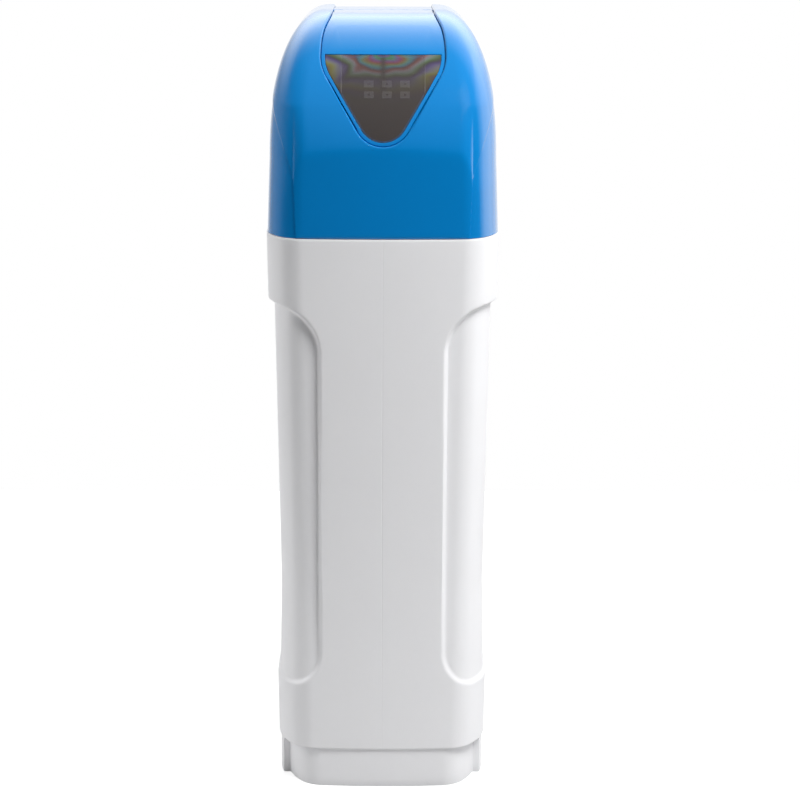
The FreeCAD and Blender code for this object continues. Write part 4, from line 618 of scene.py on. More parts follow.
# The keys carry a painted glow: a little emission standing in for light that can't reach them under the
# hood.
KEY_GREY_PAINTED_GLOW = Moulded("key_grey", srgb(206, 206, 208), roughness=0.35, tone=0.04, painted_glow=0.14)
SIGN_GREY = Moulded("sign_grey", srgb(70, 72, 76), roughness=0.45)
GRID_GREY = Moulded("grid_grey", srgb(150, 154, 158), roughness=0.55, tone=0.08)
WELL_WHITE = Moulded("well_white", srgb(226, 228, 228), roughness=0.45, scatter=0.15)
PIPE_WHITE = Moulded("pipe_white", srgb(224, 224, 218), tone=0.04)
NYLON = Moulded("gear_nylon", srgb(232, 228, 214), roughness=0.38, scatter=0.2)
HANDLE_RED = Moulded("handle_red", srgb(176, 32, 28), roughness=0.35, tone=0.06)
SEAL_RUBBER = Moulded("seal_rubber", srgb(26, 26, 26), roughness=0.62, tone=0.2)
BOOT_BLACK = Moulded("boot_black", srgb(30, 30, 31), roughness=0.55, tone=0.15)
TUBE_BLACK = Moulded("tube_black", srgb(28, 28, 30), roughness=0.32, tone=0.1)
RESIN_BED = Moulded("resin_beads", srgb(150, 92, 40), tone=0.4, tone_scale=300.0,
                    grain_scale=1400.0, grain_depth=0.0006)
BOARD = Moulded("board_green", srgb(22, 92, 56), roughness=0.25, tone=0.2, tone_scale=60.0,
                coat=0.3)
STEEL = Metal("drawn_steel", srgb(196, 198, 200), roughness=0.28)
BRASS = Metal("turned_brass", srgb(214, 178, 104), roughness=0.25)

WORN_BY: tuple[tuple[Finish, str], ...] = (
    (WHITE_SHELL, "cabinet_shell"),
    (HOOD_BLUE, "top_cover salt_lid"),
    (SmokedClear(), "display_window"),
    (STEEL, "lid_hinge_pin piston_rod motor"),
    (BRASS, "inlet_nipple outlet_nipple"),
    (WoundFibre(), "resin_tank"),
    (VALVE_BLACK, "overflow_elbow overflow_nut valve_body barrel_cap injector_cap cable_gland "
                  "bypass_body inlet_nut outlet_nut"),
    (VALVE_GREY, "safety_float_valve bottom_distributor top_distributor brine_elbow "
                 "drain_elbow drive_bracket"),
    (HOUSING, "control_housing"),
    (ScreenGlass(), "lcd_lens"),
    (KEY_GREY_PAINTED_GLOW, "key_menu key_up key_set key_left key_down key_right"),
    (BOARD, "circuit_board"),
    (NYLON, "brine_float piston meter_turbine motor_pinion drive_gear"),
    (HANDLE_RED, "bypass_rotor_inlet bypass_rotor_outlet"),
    (GRID_GREY, "salt_grid"),
    (WELL_WHITE, "brine_well brine_well_cap"),
    (PIPE_WHITE, "float_rod air_check riser_tube"),
    (TUBE_BLACK, "brine_tube"),
    (BOOT_BLACK, "tank_boot"),
    (SEAL_RUBBER, "seal_stack"),
    (RESIN_BED, "resin_bed"),
)
FINISH_OF = {name: finish for finish, names in WORN_BY for name in names.split()}


class Wardrobe:
    """Makes each finish once and puts it on the CAD nodes."""

    def __init__(self) -> None:
        """Starts with nothing made."""
        self.made: dict[str, Material] = {}

    def material(self, finish: Finish) -> Material:
        """The material of a finish, made on first use.

        Args:
            finish: the finish.

        Returns:
            Its material.
        """
        if finish.name not in self.made:
            self.made[finish.name] = finish.make()
        return self.made[finish.name]

    def dress(self, nodes: dict[str, Thing]) -> None:
        """Gives every CAD node its finish.

        Args:
            nodes: the CAD objects by name.
        """
        for name, thing in nodes.items():
            material = self.material(FINISH_OF[name])
            if not thing.material_slots:
                thing.data.materials.append(material)
            for place in thing.material_slots:
                place.material = material
            LOG.info("dressed %s in %s", name, material.name)


def ease(values: Array, low: float, high: float) -> Array:
    """A smooth step from 0 at low to 1 at high: three squares of the share less two cubes."""
    share = np.clip((values - low) / (high - low), 0.0, 1.0)
    return share * share * (3.0 - 2.0 * share)


def even(count: int) -> Array:
    """Evenly spaced shares from 0 to 1."""
    return np.linspace(0.0, 1.0, count)


def joined(*parts: Array | float) -> Array:
    """Points put together from their parts, one array or number for each axis."""
    return np.stack(np.broadcast_arrays(*parts), axis=-1)


def unit(vectors: Array) -> Array:
    """The vectors scaled to length 1."""
    return vectors / np.maximum(np.linalg.norm(vectors, axis=-1, keepdims=True), TINY)


def blended(first: Array | float, second: Array | float, share: Array) -> Array:
    """The first value turned by a share into the second."""
    return first * (1.0 - share) + second * share


def arc(middle: tuple[float, float], radius: Array | float, turn: Array) -> Array:
    """Points on a circle: its middle, plus its radius times the cosine and sine of each turn."""
    return joined(middle[0] + radius * np.cos(turn), middle[1] + radius * np.sin(turn))


def headings(turn: Array) -> Array:
    """Level directions, each turned away from the front by an angle."""
    return joined(np.sin(turn), -np.cos(turn), 0.0)


def rolled(radius: Array | float, count: int) -> list[tuple[Array, Array]]:
    """A quarter-round edge, as steps in from the wall and down from the face."""
    return [(radius * (1.0 - math.cos(turn)), radius * (1.0 - math.sin(turn)))
            for turn in np.linspace(QUARTER, 0.0, count + 1)[1:]]


def away_from(line: Array, normal: Array) -> Array:
    """The ways off a line along a surface: its own direction crossed with the normal."""
    return unit(np.cross(unit(np.gradient(line, axis=0)), normal))


def respaced(points: Array, shares: Array) -> Array:
    """A line of points taken again at given shares of its length.

    Args:
        points: (n, k) points along the line.
        shares: rising numbers from 0 to 1.

    Returns:
        One point for each share, placed linearly between the given ones.
    """
    lengths = np.linalg.norm(np.diff(points, axis=0), axis=-1)
    along = np.concatenate([[0.0], np.cumsum(lengths)])
    at = shares * along[-1]
    return joined(*(np.interp(at, along, part) for part in points.T))


def columns_respaced(grid: Array, shares: Array) -> Array:
    """Every column of a grid taken again at given shares of its own length.

    Args:
        grid: the grid.
        shares: rising numbers from 0 to 1.

    Returns:
        A grid with one row for each share.
    """
    lengths = np.linalg.norm(np.diff(grid, axis=0), axis=-1)
    along = np.concatenate([np.zeros((1, grid.shape[1])), np.cumsum(lengths, axis=0)])
    along = along / np.maximum(along[-1], TINY)
    made = np.empty((len(shares), grid.shape[1], 3))
    for column in range(grid.shape[1]):
        for axis in range(3):
            made[:, column, axis] = np.interp(shares, along[:, column], grid[:, column, axis])
    return made


def cast_onto(outside: Callable[[Array], Array], start: Array, toward: Array,
              far: float = 500.0) -> Array:
    """Where rays from inside meet a surface, found by halving.

    Args:
        outside: gives how far points lie outside the surface.
        start: points inside it.
        toward: the rays' directions.
        far: a length that is outside for every ray.

    Returns:
        The points on the surface.
    """
    start, toward = np.broadcast_arrays(start, unit(toward))
    near_end = np.zeros(start.shape[:-1])
    far_end = np.full(start.shape[:-1], far)
    for _ in range(HALVINGS):
        middle = (near_end + far_end) / 2.0
        out = outside(start + toward * middle[..., None]) > 0.0
        far_end = np.where(out, middle, far_end)
        near_end = np.where(out, near_end, middle)
    return start + toward * ((near_end + far_end) / 2.0)[..., None]


@dataclass(frozen=True)
class HoodForm:
    """The hood's outer surface.

    At every height it is one plan outline: a crowned front, two arcs to a corner, a straight side
    and a rounded rear corner, all tangent. Half its width follows a superellipse up to the crest,
    the front stands upright up to a crease and then leans back along an ellipse, and the rear is a
    shallow lean with a round shoulder.
    """

    seam: float = 825.0
    crest: float = 1134.0
    seam_half: float = 168.0
    side_start: float = 930.0
    side_half: float = 164.3
    crest_half: float = 84.0
    power_up: float = 2.3
    power_across: float = 2.1
    front: float = 250.0
    crease: float = 951.0
    crease_half: float = 110.0
    crease_drop: float = 7.0
    corner_start: float = 104.0
    corner_reach: float = 22.0
    corner_drop: float = 44.0
    crease_blend: float = 0.7
    lean_end: float = 1010.0
    arc_base: float = 900.0
    arc_reach: float = 230.0
    rear: float = 236.0
    rear_lean: float = 4.0
    rear_radius: float = 62.0
    tight: float = 45.0
    wide: float = 122.0
    back: float = 48.0
    crown_angle: float = math.radians(5.0)
    tight_angle: float = math.radians(55.0)
    core: tuple[float, float] = (-60.0, 110.0)
    guesses: int = 49

    def half(self, z: Array) -> Array:
        """Half the width at a height: a slight taper, then a superellipse.

        Args:
            z: the height.

        Returns:
            Half the width.
        """
        rise = np.clip((z - self.side_start) / (self.crest - self.side_start), 0.0, 1.0)
        level = np.sqrt(1.0 - (rise ** (self.power_up / 2.0)) ** 2) ** (2.0 / self.power_across)
        curved = (self.side_half - self.crest_half) * level
        taper = (self.seam_half - self.side_half) / (self.side_start - self.seam)
        straight = self.side_half + taper * (self.side_start - z)
        return np.where(z < self.side_start, straight, self.crest_half + curved)

    def crease_height(self, x: Array) -> Array:
        """The height of the front's crease: a parabola that rounds down into the cheek's edge.

        Args:
            x: the distance across.

        Returns:
            The height.
        """
        across = np.abs(x)
        corner = np.clip((across - self.corner_start) / self.corner_reach, 0.0, 1.0)
        fall = 1.0 - np.sqrt(np.maximum(1.0 - corner ** 2, 0.0))
        parabola = self.crease_drop * (across / self.crease_half) ** 2
        return self.crease - parabola - self.corner_drop * fall

    def reach_front(self, x: Array, z: Array) -> Array:
        """The front's reach: upright below the crease, an ellipse stretched to start at it above.

        The two are joined by a soft minimum, the logarithm of a sum of exponentials.

        Args:
            x: the distance across.
            z: the height.

        Returns:
            How far forward the front stands.
        """
        start = self.crease_height(x)
        rise = self.crest - self.arc_base
        first = math.asin((self.crease - self.arc_base) / rise)
        middle = self.front - self.arc_reach * math.cos(first)
        share = (z - start) / (self.lean_end - start)
        moved = np.where(z < self.lean_end, self.crease + share * (self.lean_end - self.crease), z)
        sine = np.clip((moved - self.arc_base) / rise, 0.0, 1.0)
        leaning = middle + self.arc_reach * np.sqrt(1.0 - sine ** 2)
        blend = self.crease_blend
        return self.front - blend * np.logaddexp(0.0, (self.front - leaning) / blend)

    def reach_rear(self, z: Array) -> Array:
        """The rear's reach: a slight lean, then a quarter circle.

        Args:
            z: the height.

        Returns:
            How far back the rear stands.
        """
        turn = self.crest - self.rear_radius
        lean = self.rear - self.rear_lean * (z - self.seam) / (turn - self.seam)
        above = np.clip(z - turn, 0.0, self.rear_radius)
        fall = np.sqrt(np.maximum(self.rear_radius ** 2 - above ** 2, 0.0))
        return np.where(z < turn, lean, self.rear - self.rear_lean - self.rear_radius + fall)

    def plan(self, x: Array, y: Array, sizes: Sequence[Array]) -> Array:
        """How far points lie outside a plan outline.

        Args:
            x: distance across.
            y: distance back.
            sizes: half width, front and rear reach, and the tight, wide and rear corner radii.

        Returns:
            The level distance, below zero inside.
        """
        half, front, rear, tight, wide, back = sizes
        x = np.abs(x)
        sin_a, cos_a = math.sin(self.crown_angle), math.cos(self.crown_angle)
        sin_b, cos_b = math.sin(self.tight_angle), math.cos(self.tight_angle)
        crown = (half - tight * (sin_b - sin_a) - wide * (1.0 - sin_b)) / sin_a
        crown_y = crown - front
        tight_x, tight_y = (crown - tight) * sin_a, crown_y - (crown - tight) * cos_a
        wide_x, wide_y = tight_x - (wide - tight) * sin_b, tight_y + (wide - tight) * cos_b
        back_x, back_y = half - back, rear - back
        choice = [
            (np.arctan2(x, crown_y - y) < self.crown_angle) & (y < 0.0),
            (np.arctan2(x - tight_x, tight_y - y) < self.tight_angle) & (y < tight_y),
            y < wide_y,
            y < back_y,
            x > back_x,
        ]
        reach = [
            np.hypot(x, crown_y - y) - crown,
            np.hypot(x - tight_x, y - tight_y) - tight,
            np.hypot(x - wide_x, y - wide_y) - wide,
            x - half,
            np.hypot(x - back_x, y - back_y) - back,
        ]
        return np.select(choice, reach, y - rear)

    def outside(self, point: Array) -> Array:
        """How far points lie outside the surface, measured level; the crest is a flat top.

        Args:
            point: the points.

        Returns:
            The distance, below zero inside.
        """
        x, y = np.abs(point[..., 0]), point[..., 1]
        z = np.minimum(point[..., 2], self.crest)
        half = self.half(z)
        scale = half / self.seam_half
        sizes = (half, self.reach_front(x, z), self.reach_rear(z),
                 self.tight * scale, self.wide * scale, self.back * scale)
        return np.maximum(self.plan(x, y, sizes), point[..., 2] - self.crest)

    def cast(self, start: Array, toward: Array) -> Array:
        """Where rays from inside meet the surface."""
        return cast_onto(self.outside, start, toward)

    def wrapped(self, guess: Array, middle_y: Array) -> Array:
        """Guessed points moved on to the surface: level below the sides' curve, radially above it.

        Args:
            guess: the guessed points.
            middle_y: the depth that the rays start from.

        Returns:
            The points on the surface.
        """
        centre = joined(0.0, middle_y, np.minimum(guess[..., 2], self.side_start))
        return self.cast(centre, guess - centre)

    def between(self, start: Array, end: Array, shares: Array) -> Array:
        """A grid on the surface between two lines: straight guesses, wrapped, respaced by length.

        Args:
            start: the first line.
            end: the last line, point for point.
            shares: the rows' shares of the length.

        Returns:
            The grid.
        """
        steps = even(self.guesses)[:, None, None]
        guess = blended(start[None], end[None], steps)
        middle = np.clip((start[:, 1] + end[:, 1]) / 2.0, *self.core)[None]
        grid = columns_respaced(self.wrapped(guess, middle), shares)
        grid = self.wrapped(grid, middle)
        grid[0], grid[-1] = start, end
        return grid

    def normal(self, point: Array, step: float = 0.3) -> Array:
        """The outward normal: the slope of the level distance, from differences over a step."""
        return unit(joined(*(self.outside(point + shift) - self.outside(point - shift)
                             for shift in np.eye(3) * step)))

    def sunk(self, point: Array, depth: Array | float) -> Array:
        """Points on the surface moved inwards by a depth."""
        return point - self.normal(point) * depth


@dataclass(frozen=True)
class Shield:
    """The lid's outline: pointed at the front, its upright sides eased in towards the crest."""

    form: HoodForm
    tip: float = 955.0
    tip_radius: float = 42.0
    half: float = 89.0
    crest_half: float = 75.0
    shoulder: float = 1079.0
    ease_end: float = -25.0
    flank: float = math.radians(59.0)
    front_core: float = -20.0
    top_core: float = 960.0

    def front_part(self, grow: float, top: float | None = None, count: int = 300) -> Array:
        """The right half below the shoulder, as (x, z) points.

        It is an arc round the tip, a straight flank and an arc into the upright side, moved
        outwards by a distance.

        Args:
            grow: the distance.
            top: a height to stop at, where there is one.
            count: how many points each arc gets.

        Returns:
            The points from the tip upwards.
        """
        low = self.flank - QUARTER
        tip_z = self.tip + self.tip_radius
        start_x = self.tip_radius * math.sin(self.flank)
        start_z = tip_z - self.tip_radius * math.cos(self.flank)
        meet = start_z + (self.half - start_x) * math.tan(self.flank)
        bend = (self.shoulder - meet) / math.tan(-low / 2.0)
        line = np.concatenate([
            arc((0.0, tip_z), self.tip_radius + grow, np.linspace(-QUARTER, low, count)),
            arc((self.half - bend, self.shoulder), bend + grow, np.linspace(low, 0.0, count))])
        if top is None:
            return line
        if top > self.shoulder:
            line = np.concatenate([line, [[self.half + grow, top]]])
        line = respaced(line, even(4000))
        return line[line[:, 1] <= top]

    def upper_part(self, grow: float, rear: float, count: int = 200) -> Array:
        """The right side above the shoulder, as (x, y) points: two equal arcs and a straight line.

        Args:
            grow: how far it is moved outwards.
            rear: the depth that it ends at.
            count: how many points each arc gets.

        Returns:
            The points from the shoulder backwards.
        """
        start = -float(self.form.reach_front(np.array(self.half), np.array(self.shoulder)))
        turn = 2.0 * math.atan((self.half - self.crest_half) / (self.ease_end - start))
        radius = (self.ease_end - start) / (2.0 * math.sin(turn))
        return np.concatenate([
            arc((self.half - radius, start), radius + grow, np.linspace(0.0, turn, count)),
            arc((self.crest_half + radius, self.ease_end), grow - radius,
                np.linspace(turn, 0.0, count)),
            [[self.crest_half + grow, rear]]])

    def on_front(self, line: Array) -> Array:
        """Points given as (x, z), put on the hood's front."""
        start = joined(line[:, 0], self.front_core, line[:, 1])
        return self.form.cast(start, np.array([0.0, -1.0, 0.0]))

    def on_top(self, line: Array) -> Array:
        """Points given as (x, y), put on the hood's top."""
        start = joined(line[:, 0], line[:, 1], self.top_core)
        return self.form.cast(start, np.array([0.0, 0.0, 1.0]))

    def edge(self, grow: float, rear: float) -> Array:
        """The right half of the outline on the surface, from the tip to a depth at the rear.

        Args:
            grow: how far it is moved outwards.
            rear: the depth that it ends at.

        Returns:
            The points.
        """
        front = self.on_front(self.front_part(grow))
        upper = respaced(self.upper_part(grow, rear), even(1500))
        upper = upper[upper[:, 1] > front[-1, 1]]
        return np.concatenate([front, self.on_top(upper)])


def grid_faces(rows: int, columns: int, close_rows: bool = False, close_columns: bool = False
               ) -> Array:
    """Quads of a grid whose points are numbered row by row.

    Args:
        rows: the number of rows.
        columns: the number of columns.
        close_rows: joins the last row to the first.
        close_columns: joins the last column to the first.

    Returns:
        (n, 4) point numbers.
    """
    down = np.arange(rows if close_rows else rows - 1)[:, None]
    across = np.arange(columns if close_columns else columns - 1)[None, :]
    below, beside = (down + 1) % rows, (across + 1) % columns
    corners = joined(down * columns + across, down * columns + beside,
                     below * columns + beside, below * columns + across)
    return corners.reshape(-1, 4)


def piece(name: str, points: Array, faces: Sequence[Sequence[int]], material: Material,
          body: str, sharp: float = 40.0) -> Thing:
    """Makes an object of points in millimetres.

    Args:
        name: the object's name.
        points: the points.
        faces: point numbers of each face.
        material: its finish.
        body: the moving body that it rides on.
        sharp: the angle in degrees past which an edge stays sharp.

    Returns:
        The object, its faces turned outwards.
    """
    mesh = bpy.data.meshes.new(name)
    places = (np.asarray(points).reshape(-1, 3) * MM).tolist()
    mesh.from_pydata(places, [], [list(map(int, face)) for face in faces])
    mesh.validate()
    made = bpy.data.objects.new(name, mesh)
    bpy.context.scene.collection.objects.link(made)
    sheet = bmesh.new()
    sheet.from_mesh(mesh)
    bmesh.ops.remove_doubles(sheet, verts=sheet.verts, dist=MERGE)
    bmesh.ops.recalc_face_normals(sheet, faces=sheet.faces)
    sheet.to_mesh(mesh)
    sheet.free()
    mesh.polygons.foreach_set("use_smooth", np.ones(len(mesh.polygons), dtype=bool))
    mesh.set_sharp_from_angle(angle=math.radians(sharp))
    mesh.materials.append(material)
    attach(made, body)
    LOG.info("made %s with %d faces", name, len(mesh.polygons))
    return made


def plate(name: str, upper: Array, lower: Array, material: Material, body: str) -> Thing:
    """A closed plate between an upper and a lower grid of the same size.

    Args:
        name: the piece's name.
        upper: the upper grid.
        lower: the lower grid.
        material: its finish.
        body: the body that it rides on.

    Returns:
        The piece.
    """
    rows, columns = upper.shape[:2]
    count = rows * columns
    faces = grid_faces(rows, columns)
    rim = np.concatenate([np.arange(columns), np.arange(1, rows) * columns + columns - 1,
                          np.arange(columns - 2, -1, -1) + (rows - 1) * columns,
                          np.arange(rows - 2, 0, -1) * columns])
    after = np.roll(rim, -1)
    faces = np.concatenate([faces, faces[:, ::-1] + count,
                            joined(rim, rim + count, after + count, after)])
    return piece(name, np.stack([upper, lower]), faces, material, body)


@dataclass(frozen=True)
class Knuckle:
    """One hinge knuckle with its web: a half-round bar carried along X, with rolled ends."""

    axis_y: float = 62.0
    axis_z: float = 1126.4
    radius: float = 3.4
    length: float = 24.0
    gap: float = 0.5
    roll_along: tuple[float, ...] = (0.0, 0.1, 0.35, 0.8)
    roll_down: tuple[float, ...] = (0.8, 0.45, 0.15, 0.0)

    def build(self, name: str, place: int, edge: float, material: Material, body: str) -> Thing:
        """Makes one knuckle.

        Args:
            name: the piece's name.
            place: its place in the row, 0 at the middle.
            edge: the depth that its web reaches to.
            material: its finish.
            body: the body that it rides on.

        Returns:
            The piece.
        """
        web = (edge - self.axis_y) / self.radius
        turn = np.linspace(QUARTER, 3.0 * QUARTER, 25)
        around = joined(np.cos(turn) * math.copysign(1.0, web), np.sin(turn))
        around = np.concatenate([around, [[web, -1.0], [web, 1.0]]])
        roll = np.array(self.roll_along)
        along = np.concatenate([roll, self.length - roll[::-1]])
        along = along + (place * (self.length + self.gap) - self.length / 2.0)
        size = self.radius - np.array(self.roll_down + self.roll_down[::-1])[:, None]
        points = joined(along[:, None], self.axis_y + around[:, 0] * size,
                        self.axis_z + around[:, 1] * size)
        rows, columns = points.shape[:2]
        faces = grid_faces(rows, columns, close_columns=True).tolist()
        faces += [list(range(columns))[::-1], list(range((rows - 1) * columns, rows * columns))]
        return piece(name, points, faces, material, body)


@dataclass(frozen=True)
class HoodShell:
    """The blue hood: a skin with a rolled edge round the lid, a saddle and hinge knuckles."""

    form: HoodForm
    shield: Shield
    bottom: float = 825.6
    wall: float = 3.6
    lip: float = 2.6
    near_rows: tuple[float, ...] = (3.7, 5.2, 7.0)
    dive: float = 12.0
    sunk: float = 4.2
    pocket: float = 8.5
    ledge: float = 7.0
    ledge_wall: float = 3.0
    bead: float = 0.6
    back_bead: float = 0.4
    back_lean: float = 0.2
    saddle_start: float = 66.8
    saddle_ease: float = 6.0
    saddle_under: float = 8.2
    saddle_gap: float = 0.15
    saddle_middle: tuple[float, float] = (100.0, 1000.0)
    saddle_ends: tuple[float, ...] = (0.0, 0.0015, 0.005, 0.012)
    saddle_roll: tuple[float, ...] = (1.2, 0.5, 0.12, 0.0)
    lid_rear: float = 205.0
    rear_core: float = 60.0
    notch_start: float = 150.0
    notch_half: float = 86.0
    notch_top: float = 1036.0
    notch_radius: float = 24.0
    notch_ease: tuple[float, float] = (6.0, 14.0)
    notch_lip: float = 1.0
    notch_floor: float = 2.6
    notch_back: float = 1.6
    smooth_rows: int = 7
    smooth_from: float = 190.0
    cheek_step: float = 1.4
    cheek_soft: float = 1.2
    cheek_front: float = -243.0
    cheek_base: float = 880.0
    cheek_top: float = 1066.0
    cheek_arc: float = 293.0
    cheek_rear: float = 214.0
    cheek_corner: float = 40.0
    columns: tuple[int, ...] = (64, 84, 44, 40)
    split_height: float = 1040.0
    inner_splits: tuple[float, float] = (-30.0, 196.0)
    cheek_split: float = 20.0
    low_half: float = 100.0
    low_splits: tuple[float, float, float] = (0.0, 96.0, 150.0)
    low_turn: float = math.radians(138.0)
    foot_inset: float = 0.5
    foot_rise: float = 0.6

    def inner_edge(self) -> Array:
        """The skin's inner edge on the right: along the lid, over the crest, down beside the pipes.

        Returns:
            The points, on the surface.
        """
        lid = self.shield.edge(0.0, self.lid_rear)
        radius = self.notch_radius
        corner = math.acos((self.shield.crest_half - self.notch_half + radius) / radius)
        middle = self.notch_half - radius, self.notch_top - radius
        line = np.concatenate([[[self.shield.crest_half, lid[-1, 2] - 1.0]],
                               arc(middle, radius, np.linspace(corner, 0.0, 60)),
                               [[self.notch_half, self.bottom]]])
        line = respaced(line, even(800))
        start = joined(line[:, 0], self.rear_core, line[:, 1])
        return np.concatenate([lid, self.form.cast(start, np.array([0.0, 1.0, 0.0]))])

    def cheek_line(self) -> Array:
        """The cheek's outline: up its front edge, a quarter ellipse, back, and down at the rear.

        Returns:
            The points, on the right side of the surface.
        """
        turn = np.linspace(0.0, QUARTER, 600)
        curve = joined(self.cheek_front + self.cheek_arc * (1.0 - np.cos(turn)),
                       self.cheek_base + (self.cheek_top - self.cheek_base) * np.sin(turn))
        middle = self.cheek_rear - self.cheek_corner, self.cheek_top - self.cheek_corner
        line = np.concatenate([[[self.cheek_front, self.bottom]], curve,
                               arc(middle, self.cheek_corner, np.linspace(QUARTER, 0.0, 60)),
                               [[self.cheek_rear, self.bottom]]])
        line = respaced(line, even(3000))
        return self.form.cast(joined(0.0, line[:, 0], line[:, 1]), np.array([1.0, 0.0, 0.0]))

    def bottom_line(self) -> Array:
        """The hood's lower edge from the middle of the front round to the side."""
        toward = headings(np.linspace(0.0, self.low_turn, 1500))
        return self.form.cast(np.array([0.0, 0.0, self.bottom]), toward)

    def guides(self) -> tuple[Array, Array, Array, int]:
        """Three lines of matching points on the right: inner edge, feature line and lower edge.

        The feature line is the front's crease up to where it meets the cheek, then the cheek's
        outline. Each line is cut into as many stretches as there are counts of columns.

        Returns:
            The three lines, and the column at which crease and cheek meet.
        """
        inner, cheek, low = self.inner_edge(), self.cheek_line(), self.bottom_line()
        meet = int(np.argmax(cheek[:, 2] > self.form.crease_height(cheek[:, 0])))
        across = np.linspace(0.0, cheek[meet, 0], 900)
        crease = self.shield.on_front(joined(across, self.form.crease_height(across)))

        def at(line: Array, test: Array) -> int:
            """The first point of a line that passes a test, or else its last."""
            return int(np.argmax(test)) if test.any() else len(line) - 1

        inner_marks = [0, at(inner, inner[:, 2] > self.split_height),
                       *(at(inner, inner[:, 1] > split) for split in self.inner_splits),
                       len(inner) - 1]
        cheek_marks = [meet, at(cheek, cheek[:, 1] > self.cheek_split),
                       at(cheek, cheek[:, 1] > self.cheek_rear - self.cheek_corner), len(cheek) - 1]
        low_marks = [0, at(low, (low[:, 1] > self.cheek_front) & (low[:, 0] > self.low_half)),
                     *(at(low, low[:, 1] > split) for split in self.low_splits)]
        lines: tuple[list[Array], ...] = ([], [], [])
        last = len(self.columns) - 1
        for part, count in enumerate(self.columns):
            shares = even(count + 1)
            if part == 0:
                shares = 1.0 - (1.0 - shares) ** 1.5 * (1.0 - 0.5 * shares)
                shares = (shares - shares[0]) / (shares[-1] - shares[0])
            if part == 1:
                shares = shares ** 1.5
            stretches = (inner[inner_marks[part]:inner_marks[part + 1] + 1],
                         cheek[cheek_marks[part - 1]:cheek_marks[part] + 1] if part else crease,
                         low[low_marks[part]:low_marks[part + 1] + 1])
            for line, stretch in zip(lines, stretches):
                line.append(respaced(stretch, shares)[:count + (part == last)])
        inner, feature, low = (np.concatenate(line) for line in lines)
        return inner, feature, low, self.columns[0]

    def outward(self, inner: Array) -> Array:
        """The way from the inner edge into the skin, smoothed where it turns down at the rear.

        Args:
            inner: the inner edge.

        Returns:
            One direction for each point: along the surface, square to the edge.
        """
        outward = away_from(inner, self.form.normal(inner))
        pad = np.pad(outward, ((self.smooth_rows, self.smooth_rows), (0, 0)), mode="edge")
        kernel = np.hanning(2 * self.smooth_rows + 1)
        kernel = kernel / kernel.sum()
        smooth = joined(*(np.convolve(part, kernel, mode="valid") for part in pad.T))
        behind = ease(inner[:, 1], self.notch_start, self.smooth_from)[:, None]
        outward = unit(blended(outward, smooth, behind))
        outward[0] = outward[0] * UPRIGHT
        return outward

    def skin(self) -> tuple[Array, Array, Array, Array]:
        """The outer skin's right half, with the cheek set back by a soft step.

        Returns:
            Its grid and the grid's normals, the inner edge and the way into the skin from it.
        """
        inner, feature, low, meet = self.guides()
        outward, normal = self.outward(inner), self.form.normal(inner)
        rows = [self.form.cast(inner + outward * reach - normal * self.dive, normal)
                for reach in (self.lip, *self.near_rows)]
        # Rows draw together at the feature line, where the surface turns.
        shares = np.concatenate([np.linspace(0.0, 0.9, 30), [0.93, 0.955, 0.975, 0.99, 1.0]])
        upper = self.form.between(rows[-1], feature, shares)
        shares = np.concatenate([[0.0, 0.01, 0.025, 0.045, 0.07], np.linspace(0.1, 1.0, 26)])
        lower = self.form.between(feature, low, shares)
        grid = np.concatenate([np.stack(rows[:-1]), upper, lower[1:]])
        lower_start = len(rows) - 1 + len(upper) - 1
        edge = np.concatenate([feature[meet:], lower[:, meet][::4]])
        gap = np.full(grid.shape[:2], np.inf)
        for point in edge:
            gap = np.minimum(gap, np.linalg.norm(grid - point, axis=-1))
        inside = np.zeros(gap.shape, dtype=bool)
        inside[lower_start:, meet:] = True
        gap = np.where(inside, gap, -gap)
        depth = self.cheek_step * ease(gap, -self.cheek_soft, self.cheek_soft)
        normals = self.form.normal(grid)
        return grid - normals * depth[..., None], normals, inner, outward

    def section(self, inner: Array, outward: Array) -> Array:
        """The rolled edge and the ledge under the lid, as rows across and below the surface.

        Behind the hinge the ledge gives way to the saddle's wall, and beside the pipes to a thin
        rolled edge.

        Args:
            inner: the inner edge.
            outward: the way into the skin from it.

        Returns:
            The rows, from the face inwards and back under it.
        """
        y, z = inner[:, 1], inner[:, 2]
        behind = ease(y, self.saddle_start - self.saddle_ease, self.saddle_start)
        low, high = self.notch_top - self.notch_ease[0], self.notch_top + self.notch_ease[1]
        below = np.where(y > self.notch_start, 1.0 - ease(z, low, high), 0.0)
        lip = blended(self.lip, self.notch_lip, below)
        floor = blended(self.pocket, self.notch_floor, below)
        ledge = self.ledge * (1.0 - behind) * (1.0 - below)
        under = blended(self.pocket + self.ledge_wall, self.saddle_under, behind)
        under = blended(under, self.wall, below)
        back = blended(self.wall, self.notch_back, below)
        bead = self.bead * (1.0 - below)
        rows = rolled(lip, 6) + [
            (np.zeros_like(lip), floor), (self.bead - ledge, floor), (-ledge, floor + bead),
            (-ledge, under - bead), (self.bead - ledge, under), (back - self.back_bead, under),
            (back, np.maximum(under - self.bead, self.wall)),
            (back + self.back_lean, np.full_like(back, self.wall))]
        normal = self.form.normal(inner)
        return np.stack([inner + outward * across[:, None] - normal * down[:, None]
                         for across, down in rows])

